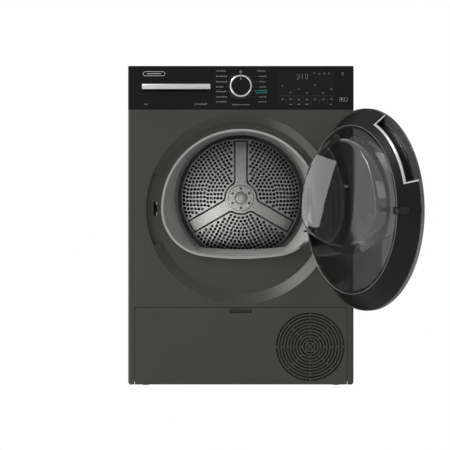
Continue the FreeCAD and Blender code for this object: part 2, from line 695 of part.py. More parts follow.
def drum_hub_screws():
    y = FRONT + DRUM_BACK_Y + ARM_DEPTH
    screws = []
    for x, z in hub_screw_places():
        head = turned([(0, y - 4.6), (2.4, y - 4.6), (4.0, y - 3.6), (4.0, y - 2.2), (0, y - 2.2)], x, z)
        socket = rod_y(x, z, 1.5, y - 5, y - 3.6)
        screws.append(head.cut(socket))
    return Part.makeCompound(screws)


def drum_lifters():
    """Three hollow-looking ribs with sloped flanks, fixed to the inside of the shell."""
    y0 = FRONT + 165
    y1 = FRONT + 485
    base = DRUM_R - SHEET - 0.15
    lifters = []
    for deg in (30, 150, 270):
        h = LIFTER_W / 2
        foot = math.sqrt(base ** 2 - h ** 2)
        tip = base - LIFTER_H
        loop = [V(foot, y0, -h), V(tip + 10, y0, -14), V(tip, y0, -7), V(tip, y0, 7),
                V(tip + 10, y0, 14), V(foot, y0, h)]
        edges = [Part.makeLine(a, b) for a, b in zip(loop, loop[1:])]
        edges.append(Part.Arc(V(foot, y0, h), V(base, y0, 0), V(foot, y0, -h)).toShape())
        rib = Part.Face(Part.Wire(edges)).extrude(V(0, y1 - y0, 0))
        rib.rotate(V(0, 0, 0), V(0, 1, 0), -deg)
        rib.translate(V(0, 0, DRUM_Z))
        lifters.append(rib)
    return Part.makeCompound(lifters)


# ---------------------------------------------------------------- door, drawn closed
def door_disc():
    """Smoked outer pane with a softened front edge."""
    y0 = FRONT + DOOR_FRONT_Y
    r = DOOR_R - TRIM_W + 1.9
    return turned([(0, y0), (r - 1.5, y0), (r, y0 + 1.5), (r, y0 + DISC_T), (0, y0 + DISC_T)],
                  0, DOOR_Z)


def notch_angles(grow):
    """Angles of the hand hold, widened by a length along its inner arc."""
    extra = math.degrees(grow / NOTCH_R)
    return 180 - NOTCH_TO_DEG - extra, 180 - NOTCH_FROM_DEG + extra


def notch_slice(grow, y0, y1):
    """The hand hold: everything outside a radius, between two angles."""
    a, b = notch_angles(grow)
    outer = sector(DOOR_R + 20, a, b, y0, y1)
    return outer.cut(rod_y(0, DOOR_Z, NOTCH_R - grow, y0 - 1, y1 + 1))


def door_trim_ring():
    """Bright rim that also lines the hand hold."""
    y0 = FRONT + DOOR_FRONT_Y
    y1 = FRONT + TRIM_BACK_Y
    pane = y0 + DISC_T
    disc_r = DOOR_R - TRIM_W + 2
    band = turned([(disc_r, y0 + 1.5), (DOOR_R - 0.8, y0), (DOOR_R, y0 + 1), (DOOR_R, y1),
                   (DOOR_R - TRIM_W, y1), (DOOR_R - TRIM_W, pane), (disc_r, pane)], 0, DOOR_Z)
    band = band.cut(notch_slice(0, pane, y1 + 1))
    lining = notch_slice(TRIM_W, pane, y1).cut(notch_slice(0, pane - 1, y1 + 1))
    lining = lining.common(rod_y(0, DOOR_Z, DOOR_R, pane, y1))
    return joined([band, lining])


def slope_y(r):
    """Depth of the frame's sloped wall at a radius."""
    start = DOOR_R - TRIM_W
    return TRIM_BACK_Y + (start - r) * (RING_Y - TRIM_BACK_Y) / (start - RING_R)


def frame_solid(inset):
    """The frame's outer body, moved in by its wall."""
    pane = FRONT + DOOR_FRONT_Y + DISC_T
    r0 = DOOR_R - TRIM_W - 0.1 - inset
    y_top = FRONT + RING_Y - inset
    return turned([(0, pane), (r0, pane), (r0, FRONT + TRIM_BACK_Y), (RING_R - inset, y_top),
                   (0, y_top)], 0, DOOR_Z)


def hinge_sweep(grow):
    """Room in the door for the two fixed hinge arms over the whole swing."""
    rooms = []
    for s in (-1, 1):
        z0 = DOOR_Z + s * ARM_Z - ARM_T / 2 - grow
        disc = rod_z(HINGE_X, FRONT + HINGE_Y, 67.0, z0, z0 + ARM_T + 2 * grow)
        rooms.append(disc.common(box(HINGE_X - 36, 400, FRONT + TRIM_BACK_Y - 1, FRONT + 100, 0, HEIGHT)))
    return rooms


def door_frame():
    """Black ring: sloped wall, inner lip under the bowl's edge, and the hand hold's walls."""
    pane = FRONT + DOOR_FRONT_Y + DISC_T
    lined = TRIM_W
    outer = frame_solid(0).cut(notch_slice(lined, pane - 1, FRONT + 60))
    inner = frame_solid(FRAME_T).cut(notch_slice(lined + FRAME_T, pane - 1, FRONT + 60))
    ring = outer.cut(inner)
    ring = ring.cut(rod_y(0, DOOR_Z, RING_R - 9, pane - 1, FRONT + 60))
    seat = turned([(0, FRONT + RING_Y - BOWL_RIM), (RING_R - 3, FRONT + RING_Y - BOWL_RIM),
                   (RING_R - 3, FRONT + 60), (0, FRONT + 60)], 0, DOOR_Z)
    return ring.cut([seat, latch_blade(0.1)] + hinge_sweep(2.0))


def bowl_outline(inset, y):
    return lobe(BOWL_R - inset, BOWL_CORNER_R - inset, BOWL_DROP - inset, DOOR_Z, y)


def door_bowl():
    """Clear inner moulding: a flat rim in the frame, and a round-topped bowl towards the drum."""
    t = 2.6
    y_rim = FRONT + RING_Y
    y_face = y_rim + BOWL_DEPTH
    rim = rod_y(0, DOOR_Z, RING_R - 3.2, y_rim - BOWL_RIM, y_rim + BOWL_RIM)
    base = bowl_outline(0, y_rim)
    face = lobe(BOWL_R - BOWL_DRAFT, BOWL_CORNER_R - 14, BOWL_DROP - 22, DOOR_Z, y_face)
    outer = Part.makeLoft([base, face], True, True)
    edges = [e for e in outer.Edges if abs(e.CenterOfMass.y - y_face) < 1e-3
             and all(abs(v.Point.y - y_face) < 1e-3 for v in e.Vertexes)]
    outer = outer.makeFillet(9.0, edges)
    base_in = bowl_outline(t, y_rim - BOWL_RIM)
    face_in = lobe(BOWL_R - BOWL_DRAFT - t, BOWL_CORNER_R - 14 - t, BOWL_DROP - 22 - t, DOOR_Z,
                   y_face - t)
    inner = Part.makeLoft([base_in, face_in], True, True)
    edges = [e for e in inner.Edges if all(abs(v.Point.y - (y_face - t)) < 1e-3 for v in e.Vertexes)]
    inner = inner.makeFillet(7.0, edges)
    return joined([rim, outer]).cut([inner] + hinge_sweep(2.0))


def latch_blade(grow):
    x = -LATCH_X + 0.7
    root = slope_y(LATCH_X) - 11.5
    return box(x - 2 - grow, x + 2 + grow, FRONT + root, FRONT + LATCH_TIP_Y, DOOR_Z - 8.5 - grow,
               DOOR_Z + 8.5 + grow)


def door_latch_hook():
    """Flat strike with a window near its tip, on a foot under the frame's slope."""
    x = -LATCH_X + 0.7
    root = slope_y(LATCH_X) - 11.5
    tip = LATCH_TIP_Y
    blade = latch_blade(0)
    corners = [e for e in blade.Edges if abs(e.tangentAt(e.FirstParameter).x) > 0.9
               and e.CenterOfMass.y > FRONT + tip - 1]
    blade = blade.makeFillet(3.0, corners)
    window = box(x - 5, x + 5, FRONT + tip - 13, FRONT + tip - 5, DOOR_Z - 5, DOOR_Z + 5)
    foot = box(x - 7, x + 7, FRONT + root - 3, FRONT + root, DOOR_Z - 14, DOOR_Z + 14)
    return joined([blade.cut(window), foot])


def hinge_arm_path():
    """Corners of each fixed arm, from the pin round the door's near edge to the plate."""
    return [(HINGE_X, HINGE_Y), (HINGE_X - 19.6, HINGE_Y + 32.6), (HINGE_X - 27.2, HINGE_Y + 51.2),
            (HINGE_X - 10.0, HINGE_Y + 64.5), (HINGE_X + 20.0, HINGE_Y + 64.5)]


def hinge_bracket():
    """Fixed half: a plate behind the hinge pocket, two hooked arms and the pin."""
    y = FRONT
    path = hinge_arm_path()
    arms = []
    for s in (-1, 1):
        z0 = DOOR_Z + s * ARM_Z - ARM_T / 2
        for a, b in zip(path, path[1:]):
            arms.append(capsule(a[0], y + a[1], b[0], y + b[1], ARM_W, z0, z0 + ARM_T))
    plate_y = y + HINGE_POCKET_D + SHEET
    plate = box(HINGE_X + 13, HINGE_X + 46, plate_y, plate_y + 3, DOOR_Z - ARM_Z - 8,
                DOOR_Z + ARM_Z + 8)
    web = [box(HINGE_X + 13, HINGE_X + 25, plate_y, y + HINGE_Y + 64.5,
               DOOR_Z + s * ARM_Z - ARM_T / 2, DOOR_Z + s * ARM_Z + ARM_T / 2) for s in (-1, 1)]
    pin = rod_z(HINGE_X, y + HINGE_Y, HINGE_PIN_R, DOOR_Z - ARM_Z - 2.5, DOOR_Z + ARM_Z + 2.5)
    holes = [rod_y(HINGE_SCREW_X, DOOR_Z + dz, 2.05, plate_y - 1, plate_y + 4)
             for dz in HINGE_SCREW_DZ]
    return joined(arms + [plate, pin] + web).cut(holes)


def hinge_screws():
    """Four countersunk-looking screws that clamp the hinge plate through the pocket's floor."""
    y = FRONT + HINGE_POCKET_D
    screws = []
    for dz in HINGE_SCREW_DZ:
        z = DOOR_Z + dz
        shank = rod_y(HINGE_SCREW_X, z, 2.0, y, y + 7)
        head = turned([(0, y - 2.2), (2.5, y - 2.2), (4.2, y - 1.2), (4.2, y), (0, y)],
                      HINGE_SCREW_X, z)
        screws.append(joined([head, shank]).cut(rod_y(HINGE_SCREW_X, z, 1.4, y - 3, y - 1.2)))
    return Part.makeCompound(screws)


def door_hinge_leaf():
    """Moving half: a barrel on the pin, carried by a plate on the back of the pane."""
    pane = FRONT + DOOR_FRONT_Y + DISC_T
    y = FRONT + HINGE_Y
    half = ARM_Z - ARM_T / 2 - 1.0
    plate = box(HINGE_X - 46, HINGE_X + 26, pane, pane + 3, DOOR_Z - half, DOOR_Z + half)
    cheek = box(HINGE_X - 7, HINGE_X + 7, pane, y, DOOR_Z - half, DOOR_Z + half)
    barrel = rod_z(HINGE_X, y, 8.0, DOOR_Z - half, DOOR_Z + half)
    bore = rod_z(HINGE_X, y, HINGE_PIN_R + RUN, DOOR_Z - half - 1, DOOR_Z + half + 1)
    return joined([plate, cheek, barrel]).cut(bore)


def door_catch():
    """Catch housing behind the latch slot."""
    y0 = FRONT + DISH_D + SHEET
    case = box(-LATCH_X - 15, -LATCH_X + 12, y0, y0 + 32, DOOR_Z - 27, DOOR_Z + 27)
    case = case.cut(slab(opening(14.2, y0 - 1), 60))
    room = box(-LATCH_X - 6, -LATCH_X + 6, y0 - 1, y0 + 28, DOOR_Z - 20, DOOR_Z + 20)
    return case.cut(room)


# ---------------------------------------------------------------- fascia and tank
def control_fascia():
    """Black front moulding with bays for the tank, the window, the knob and the button."""
    z0, z1 = FASCIA_Z, HEIGHT
    shell = box(-HALF_W, HALF_W, FRONT, FRONT + FASCIA_D, z0, z1)
    up = [e for e in shell.Edges if abs(e.tangentAt(e.FirstParameter).z) > 0.9
          and e.CenterOfMass.y < FRONT + 1]
    shell = shell.makeFillet(5.0, up)
    hollow = box(-HALF_W + 3, HALF_W - 3, FRONT + 3, FRONT + FASCIA_D + 1, z0 + 3, z1 - 3)
    bay = box(TANK_X0, TANK_X1, FRONT - 1, FRONT + 10, z0 + 3, z1 - 3)
    window = box(WINDOW_X0 - 0.2, WINDOW_X1 + 0.2, FRONT - 1, FRONT + 1.5, WINDOW_Z0 - 0.2,
                 WINDOW_Z1 + 0.2)
    look = box(WINDOW_X0 + 6, WINDOW_X1 - 6, FRONT, FRONT + 10, WINDOW_Z0 + 6, WINDOW_Z1 - 6)
    stem = rod_y(0, KNOB_Z, 3.05, FRONT - 1, FRONT + 10)
    key = slab(round_rect(BUTTON_X0 - FIT, BUTTON_X1 + FIT, BUTTON_Z0 - FIT, BUTTON_Z1 + FIT, 3.3,
                          FRONT - 1), 10)
    shell = shell.cut([hollow, bay, window, look, stem, key])
    posts = [rod_y(x, z, 4.0, FRONT + 3, FRONT + BOARD_Y) for x in BOARD_POST_XS
             for z in (FASCIA_Z + BOARD_EDGE, HEIGHT - BOARD_EDGE)]
    return joined([shell] + posts)


def display_window():
    return box(WINDOW_X0, WINDOW_X1, FRONT, FRONT + 1.5, WINDOW_Z0, WINDOW_Z1)


def control_board():
    """Circuit board with a display block, an encoder body and a key switch."""
    y0 = FRONT + BOARD_Y
    card = box(-30, BUTTON_X1, y0, y0 + 1.6, FASCIA_Z + 6, HEIGHT - 6)
    display = box(WINDOW_X0 + 6, WINDOW_X1 - 6, y0 - 9, y0, WINDOW_Z0 + 8, WINDOW_Z1 - 8)
    encoder = box(-8, 8, y0 - 7, y0, KNOB_Z - 8, KNOB_Z + 8)
    switch_z = (BUTTON_Z0 + BUTTON_Z1) / 2
    switch_x = (BUTTON_X0 + BUTTON_X1) / 2
    switch = box(switch_x - 4, switch_x + 4, y0 - 5, y0, switch_z - 4, switch_z + 4)
    caps = [rod_y(x, FASCIA_Z + 21, 6, y0 + 1.6, y0 + 14) for x in (60, 80, 200)]
    bore = rod_y(0, KNOB_Z, 3.05, y0 - 8, y0 + 2)
    return joined([card, display, encoder, switch] + caps).cut(bore)


def knob_ring():
    """Bright ring of the programme dial, with a small index gap at the top."""
    y1 = FRONT - FIT
    y0 = y1 - KNOB_H
    ring = turned([(KNOB_CAP_R, y0 + 1), (KNOB_R - 2.5, y0), (KNOB_R - 1, y0 + 1), (KNOB_R, y1),
                   (KNOB_CAP_R, y1)], 0, KNOB_Z)
    return ring.cut(box(-1.6, 1.6, y0 - 1, y0 + 4, KNOB_Z + KNOB_CAP_R - 1, KNOB_Z + KNOB_R + 1))


def knob_cap():
    """Dark face and stem of the dial."""
    y1 = FRONT - FIT
    y0 = y1 - KNOB_H
    cap = turned([(0, y0 + 1.6), (KNOB_CAP_R - 1.5, y0 + 1.6), (KNOB_CAP_R, y0 + 2.6),
                  (KNOB_CAP_R, y1), (0, y1)], 0, KNOB_Z)
    stem = rod_y(0, KNOB_Z, 3.0, y1, FRONT + BOARD_Y - 2)
    return joined([cap, stem])


def start_button():
    """Start key with a stem that reaches the switch on the board."""
    y0 = FRONT - 0.8
    key = slab(round_rect(BUTTON_X0, BUTTON_X1, BUTTON_Z0, BUTTON_Z1, 3.0, y0), 4.0)
    x = (BUTTON_X0 + BUTTON_X1) / 2
    z = (BUTTON_Z0 + BUTTON_Z1) / 2
    stop = box(BUTTON_X0 - 2, BUTTON_X1 + 2, FRONT + 3 + 0.05, FRONT + 4.2, BUTTON_Z0 - 2, BUTTON_Z1 + 2)
    stem = rod_y(x, z, 2.5, FRONT + 3, FRONT + BOARD_Y - 5 - BUTTON_TRAVEL - 0.2)
    return joined([key, stop, stem])


def tank_front():
    """Drawer front with a scooped finger space behind the handle."""
    x0, x1 = TANK_X0 + FIT, TANK_X1 - FIT
    z0, z1 = FASCIA_Z + 3 + FIT, HEIGHT - 3 - FIT
    front = box(x0, x1, FRONT, FRONT + 4, z0, z1)
    scoop_in = box(BAR_X0 - 2, BAR_X1 - 8, FRONT - 1, FRONT + 22, BAR_Z0 - 4, BAR_Z1 - 2)
    scoop_out = box(BAR_X0 - 4, BAR_X1 - 6, FRONT, FRONT + 24, BAR_Z0 - 6, BAR_Z1)
    return joined([front, scoop_out]).cut(scoop_in)


def tank_handle_bar():
    """Brushed bar that stands proud of the drawer front and hooks over the finger space."""
    plate = box(BAR_X0, BAR_X1, FRONT - 9, FRONT - 6.5, BAR_Z0, BAR_Z1)
    ends = [e for e in plate.Edges if e.CenterOfMass.y < FRONT - 8.9]
    plate = plate.makeFillet(1.0, ends)
    roof = box(BAR_X0, BAR_X1, FRONT - 7, FRONT, BAR_Z1 - 2, BAR_Z1)
    cheeks = [box(x, x + 2.5, FRONT - 7, FRONT, BAR_Z0 + 2, BAR_Z1) for x in (BAR_X0, BAR_X1 - 2.5)]
    return joined([plate, roof] + cheeks)


def over_drum(r):
    """Space kept free above the drum."""
    return rod_y(0, DRUM_Z, r, FRONT - 1, BACK + 1)


def tank_body(inset, drum_r):
    x0, x1 = TANK_X0 + 4 + inset, TANK_X1 - 6 - inset
    z0, z1 = FASCIA_Z + 11 + inset, HEIGHT - 23 - inset
    return box(x0, x1, FRONT + 4 + inset, FRONT + TANK_DEPTH - inset, z0, z1).cut(over_drum(drum_r))


def water_tank():
    """Hollow condensate tank; its underside follows the drum, and it pours from the top."""
    base_r = DRUM_R + DRUM_CLEAR + 2 + TANK_GAP
    tank = tank_body(0, base_r).cut(tank_body(PLASTIC, base_r + PLASTIC))
    scoop = box(BAR_X0 - 4, BAR_X1 - 6, FRONT, FRONT + 24, BAR_Z0 - 6, BAR_Z1)
    tank = tank.cut(scoop)
    notch = box(BAR_X0 - 4 - PLASTIC, BAR_X1, FRONT + 4, FRONT + 24 + PLASTIC, BAR_Z0 - 6 - PLASTIC,
                BAR_Z1 + PLASTIC)
    wall = notch.cut(scoop).common(tank_body(0, base_r))
    mouth = rod_z(TANK_X0 + 40, FRONT + 60, 17.0, HEIGHT - 40, HEIGHT)
    return joined([tank, wall]).cut(mouth)


def tank_housing():
    """Open-topped trough that the tank slides in, fixed behind the fascia."""
    wall = 2.0
    x0, x1 = TANK_X0 + 4 - TANK_GAP - wall, TANK_X1 - 6 + TANK_GAP + wall
    z0 = FASCIA_Z + 11 - TANK_GAP - wall
    y1 = FRONT + TANK_DEPTH + TANK_GAP + wall
    y0 = FRONT + 5
    outer = box(x0, x1, y0, y1, z0, TOP_Z - 4).cut(over_drum(DRUM_R + DRUM_CLEAR))
    inner = box(x0 + wall, x1 - wall, FRONT, y1 - wall, z0 + wall, TOP_Z)
    inner = inner.cut(over_drum(DRUM_R + DRUM_CLEAR + wall))
    trough = outer.cut(inner)
    tongues = [box(x0 - 3.8, x0, y0, y0 + 2, z0, TOP_Z - 4),
               box(x0 - 3.8, TANK_X0 - 0.1, FRONT + 3, y0 + 2, z0, TOP_Z - 4),
               box(x1, x1 + 8, y0, y0 + 2, z0 + 35, TOP_Z - 4),
               box(TANK_X1 + 0.1, x1 + 8, FRONT + 3, y0 + 2, z0 + 35, TOP_Z - 4)]
    return joined([trough] + tongues)


# ---------------------------------------------------------------- base
def grille_slots(y):
    """Ring slots of the round grille, each split by narrow ribs."""
    wires = []
    for ring in range(GRILLE_RINGS):
        r_out = 6.0 + GRILLE_SLOT / 2 + ring * GRILLE_PITCH + 1.7
        r_in = r_out - GRILLE_SLOT
        shift = 45.0 if (ring == 0 or ring % 2 == 1) else 0.0
        half = math.asin(GRILLE_RIB / 2 / r_out)
        for quarter in range(4):
            a0 = math.radians(shift + 90 * quarter) + half
            a1 = math.radians(shift + 90 * (quarter + 1)) - half
            am = (a0 + a1) / 2

            def at(r, a):
                return V(GRILLE_X + r * math.cos(a), y, GRILLE_Z + r * math.sin(a))

            wires.append(Part.Wire([Part.Arc(at(r_out, a0), at(r_out, am), at(r_out, a1)).toShape(),
                                    Part.makeLine(at(r_out, a1), at(r_in, a1)),
                                    Part.Arc(at(r_in, a1), at(r_in, am), at(r_in, a0)).toShape(),
                                    Part.makeLine(at(r_in, a0), at(r_out, a0))]))
    return wires


def service_flap():
    """Lower front flap: grille slots, finger notch, rim, and pivot ears at the bottom."""
    x = FLAP_HALF_W
    z0 = SKIRT_Z + 0.3
    face_wire = round_rect(-x, x, z0, FLAP_TOP, 3.0, FRONT)
    plate = bored(face_wire, grille_slots(FRONT), FLAP_T)
    rim = slab(face_wire, FLAP_RIM).cut(
        slab(round_rect(-x + FLAP_T, x - FLAP_T, z0 + FLAP_T, FLAP_TOP - FLAP_T, 1.5, FRONT - 1), 40))
    notch = box(-NOTCH_W / 2, NOTCH_W / 2, FRONT - 1, FRONT + 9, FLAP_TOP - NOTCH_H, FLAP_TOP - FLAP_T)
    cup = box(-NOTCH_W / 2 - 2, NOTCH_W / 2 + 2, FRONT, FRONT + 11, FLAP_TOP - NOTCH_H - 2, FLAP_TOP)
    ears = []
    py, pz = FRONT + FLAP_PIVOT_Y, FLAP_PIVOT_Z
    for s in (-1, 1):
        xa, xb = sorted((s * EAR_X, s * (EAR_X + 4.5)))
        ears.append(rod_x(py, pz, 6.0, xa, xb))
        ears.append(box(xa, xb, FRONT + 1, py, pz - 6, pz + 6))
        xc, xd = sorted((s * (EAR_X + 3.0), s * (EAR_X + 12.0)))
        ears.append(rod_x(py, pz, 3.0, xc, xd))
    return joined([plate, rim, cup] + ears).cut(notch)


def flap_grille():
    """Dust screen frame clipped behind the grille slots."""
    y0 = FRONT + FLAP_T
    r = 6.0 + GRILLE_PITCH * GRILLE_RINGS
    ring = turned([(r, y0), (r + 5, y0), (r + 5, y0 + 5), (r, y0 + 5)], GRILLE_X, GRILLE_Z)
    screen = turned([(0, y0 + 2.5), (r, y0 + 2.5), (r, y0 + 3.3), (0, y0 + 3.3)], GRILLE_X, GRILLE_Z)
    clear = FLAP_HALF_W - FLAP_T - 0.2
    return joined([ring, screen]).common(box(-clear, clear, y0, y0 + 6, 11, FLAP_TOP - FLAP_T - 0.2))


def base_tray():
    """Moulded base: floor, walls, exchanger tunnel, flap lugs and seats for what stands in it."""
    w = 3.0
    x = INNER_X - 4
    y0, y1 = FRONT + BASE_FRONT_Y, BACK - 14
    z0, z1 = BASE_Z, BASE_Z + BASE_H
    tray = box(-x, x, y0, y1, z0, z1).cut(box(-x + w, x - w, y0 + w, y1 - w, z0 + w, z1 + 1))
    lip = box(-INNER_X, INNER_X, y0, y1, z0 + 6, z0 + 6 + w).fuse(
        box(-x, x, y0, BACK - SHEET, z0 + 6, z0 + 6 + w)).cut(box(-x + 1, x - 1, y0 + 1, y1 - 1, z0, z1))
    divider = box(TUNNEL_X1, TUNNEL_X1 + w, y0, y1, z0, z1)
    mouth = box(TUNNEL_X0 + 8, TUNNEL_X1 - 8, y0 - 1, y0 + w + 1, z0 + 10, z1 - 8)
    window = box(60, 270, y0 - 1, y0 + w + 1, z0 + 12, z1 - 14)
    lugs = []
    py, pz = FRONT + FLAP_PIVOT_Y, FLAP_PIVOT_Z
    for s in (-1, 1):
        xa, xb = sorted((s * (EAR_X + 5.5), s * (EAR_X + 11.5)))
        lug = rod_x(py, pz, 6.0, xa, xb).fuse(box(xa, xb, py, y0 + 1, pz - 6, pz + 6))
        lugs.append(lug)
    tray = joined([tray, divider, lip] + lugs).cut([mouth, window])
    bores = [rod_x(py, pz, 3.0 + RUN, -300, 300)]
    feet = [rod_z(sx * FOOT_X, sy * FOOT_Y, 4.0, z0 - 1, z0 + 20) for sx in (-1, 1) for sy in (-1, 1)]
    keep = box(-x, x, FRONT + FLAP_PIVOT_Y - 8, FRONT + BASE_FRONT_Y, 0, 60)
    seats = [box(MOTOR_X - 40, MOTOR_X + 40, y, y + 12, z0 + w, MOTOR_Z).cut(
        rod_y(MOTOR_X, MOTOR_Z, MOTOR_R + 0.1, FRONT, BACK)) for y in (MOTOR_Y0 + 12, MOTOR_Y1 - 24)]
    pierced = tray.cut(feet)
    drilled = pierced.cut(bores[0].common(keep))
    return joined([drilled] + seats)


def feet():
    """Four levelling feet: a pad, a neck and a threaded stud up into the base."""
    pads = []
    for sx in (-1, 1):
        for sy in (-1, 1):
            x, y = sx * FOOT_X, sy * FOOT_Y
            pad = rod_z(x, y, FOOT_R, 0, 5)
            neck = rod_z(x, y, 8.0, 5, BASE_Z)
            stud = rod_z(x, y, 4.0, BASE_Z, BASE_Z + 12)
            pads.append(joined([pad, neck, stud]))
    return Part.makeCompound(pads)


def motor_body():
    case = rod_y(MOTOR_X, MOTOR_Z, MOTOR_R, MOTOR_Y0, MOTOR_Y1)
    bells = [rod_y(MOTOR_X, MOTOR_Z, 24.0, y, y + 8) for y in (MOTOR_Y0 - 8, MOTOR_Y1)]
    return joined([case] + bells).cut(rod_y(MOTOR_X, MOTOR_Z, 6 + RUN, MOTOR_Y0 - 10, MOTOR_Y1 + 10))


def motor_shaft():
    """Shaft with the belt pulley at its rear end."""
    belt = FRONT + BELT_Y
    shaft = rod_y(MOTOR_X, MOTOR_Z, 6.0, FAN_Y0 + 10, belt + BELT_W)
    y0, y1 = belt - BELT_W / 2 - 2, belt + BELT_W / 2 + 2
    pulley = turned([(0, y0 - 2), (PULLEY_R + 3, y0 - 2), (PULLEY_R + 3, y0), (PULLEY_R, y0),
                     (PULLEY_R, y1), (PULLEY_R + 3, y1), (PULLEY_R + 3, y1 + 2), (0, y1 + 2)],
                    MOTOR_X, MOTOR_Z)
    return joined([shaft, pulley])


def fan_impeller():
    """Centrifugal wheel with curved-back blades on a disc and hub."""
    y0, y1 = FAN_Y0 + 12, FAN_Y1 - 10
    disc = rod_y(MOTOR_X, MOTOR_Z, FAN_R, y1 - 3, y1)
    hub = rod_y(MOTOR_X, MOTOR_Z, 14, y0, y1)
    blades = []
    for i in range(18):
        blade = box(30, FAN_R, y0, y1, -1, 1)
        blade.rotate(V(30, 0, 0), V(0, 1, 0), 24)
        blade = blade.common(rod_y(0, 0, FAN_R, y0, y1))
        blade.rotate(V(0, 0, 0), V(0, 1, 0), i * 20)
        blade.translate(V(MOTOR_X, 0, MOTOR_Z))
        blades.append(blade)
    return joined([disc, hub] + blades).cut(rod_y(MOTOR_X, MOTOR_Z, 6.0, y0 - 1, y1 + 1))


def fan_housing():
    """Scroll round the process-air wheel, standing on the base, open at the front."""
    wall = 2.5
    z0 = BASE_Z + 3
    x0, x1 = MOTOR_X - FAN_R - 12, MOTOR_X + FAN_R + 12
    outer = rod_y(MOTOR_X, MOTOR_Z, FAN_R + 10, FAN_Y0, FAN_Y1).fuse(
        box(x0 + 2, MOTOR_X, FAN_Y0, FAN_Y1, MOTOR_Z, 205))
    inner = rod_y(MOTOR_X, MOTOR_Z, FAN_R + 10 - wall, FAN_Y0 + wall, FAN_Y1 - wall).fuse(
        box(x0 + 2 + wall, MOTOR_X - wall, FAN_Y0 + wall, FAN_Y1 - wall, MOTOR_Z, 206))
    foot = box(x0 + 20, x1 - 20, FAN_Y0, FAN_Y1, z0, MOTOR_Z).cut(
        rod_y(MOTOR_X, MOTOR_Z, FAN_R + 9, FAN_Y0 - 1, FAN_Y1 + 1))
    eye = rod_y(MOTOR_X, MOTOR_Z, 44, FAN_Y0 - 1, FAN_Y0 + 10)
    gland = rod_y(MOTOR_X, MOTOR_Z, 8, FAN_Y1 - 10, FAN_Y1 + 1)
    return joined([outer.cut(inner), foot]).cut([eye, gland])


def drive_belt():
    """Flat ribbed belt round the drum and the motor pulley, just clear of both."""
    def loop(grow, y):
        ra, rb = DRUM_R + FIT + grow, PULLEY_R + FIT + grow
        dx, dz = MOTOR_X, MOTOR_Z - DRUM_Z
        gap = math.hypot(dx, dz)
        base = math.atan2(dz, dx)
        swing = math.acos((ra - rb) / gap)
        ends = []
        for s in (1, -1):
            a = base + s * swing
            ends.append((V(ra * math.cos(a), y, DRUM_Z + ra * math.sin(a)),
                         V(MOTOR_X + rb * math.cos(a), y, MOTOR_Z + rb * math.sin(a))))
        far = V(-ra * math.cos(base), y, DRUM_Z - ra * math.sin(base))
        near = V(MOTOR_X + rb * math.cos(base), y, MOTOR_Z + rb * math.sin(base))
        return Part.Wire([Part.Arc(ends[0][0], far, ends[1][0]).toShape(),
                          Part.makeLine(ends[1][0], ends[1][1]),
                          Part.Arc(ends[1][1], near, ends[0][1]).toShape(),
                          Part.makeLine(ends[0][1], ends[0][0])])

    y0 = FRONT + BELT_Y - BELT_W / 2
    return slab(loop(BELT_T, y0), BELT_W).cut(slab(loop(0, y0 - 1), BELT_W + 2))


def compressor():
    """Sealed compressor: a can with domed ends on three rubber feet."""
    x, y = COMP_X, COMP_Y
    z0 = BASE_Z + 3
    can = rod_z(x, y, 60, z0 + 14, z0 + 150)
    round_edges = [e for e in can.Edges if len(e.Vertexes) == 1]
    can = can.makeFillet(26, round_edges)
    foot_plate = rod_z(x, y, 58, z0 + 10, z0 + 30)
    pads = [rod_z(x + 46 * math.cos(math.radians(d)), y + 46 * math.sin(math.radians(d)), 9, z0, z0 + 12)
            for d in (30, 150, 270)]
    return joined([can, foot_plate] + pads)


def heat_exchangers():
    """Evaporator in front, condenser behind: fin packs between end plates."""
    packs = []
    z0, z1 = BASE_Z + 3, BASE_Z + BASE_H - 6
    for y0, y1 in ((FRONT + 66, FRONT + 196), (FRONT + 222, FRONT + 412)):
        x0, x1 = TUNNEL_X0 + 12, TUNNEL_X1 - 12
        pack = box(x0 + 4, x1 - 4, y0, y1, z0 + 3, z1 - 3)
        grooves = [box(gx, gx + 1.6, y0 - 1, y0 + 5, z0 + 12, z1 - 12)
                   for gx in [x0 + 8 + 6.4 * i for i in range(34)]]
        plates = [box(x0, x0 + 4, y0, y1, z0, z1), box(x1 - 4, x1, y0, y1, z0, z1)]
        packs.append(joined([pack.cut(grooves)] + plates))
    return Part.makeCompound(packs)


def refrigerant_pipes():
    """Copper lines between the compressor and the two exchangers, over the divider."""
    top = BASE_Z + BASE_H + 8
    x_end = TUNNEL_X1 - 12
    cold_y, hot_y = FRONT + 180, FRONT + 400
    suction = tube_run([(COMP_X - 20, COMP_Y, BASE_Z + 153), (COMP_X - 20, COMP_Y, top),
                        (60, COMP_Y, top), (60, hot_y + 20, top), (x_end - 25, hot_y + 20, top),
                        (x_end - 25, hot_y - 10, top), (x_end - 25, hot_y - 10, BASE_Z + BASE_H - 9)], 4.0)
    link = tube_run([(x_end - 60, hot_y - 60, BASE_Z + BASE_H - 9), (x_end - 60, hot_y - 60, top),
                     (x_end - 60, cold_y, top), (x_end - 60, cold_y, BASE_Z + BASE_H - 9)], 3.0)
    return Part.makeCompound([suction, link])


def condensate_pump():
    """Pump on the base sump, with its outlet stub."""
    z0 = BASE_Z + 3
    body = box(20, 74, 215, 275, z0, z0 + 46)
    motor = rod_z(47, 245, 20, z0 + 46, z0 + 84)
    stub = rod_z(30, 262, 6, z0 + 46, z0 + 66)
    return joined([body, motor, stub])


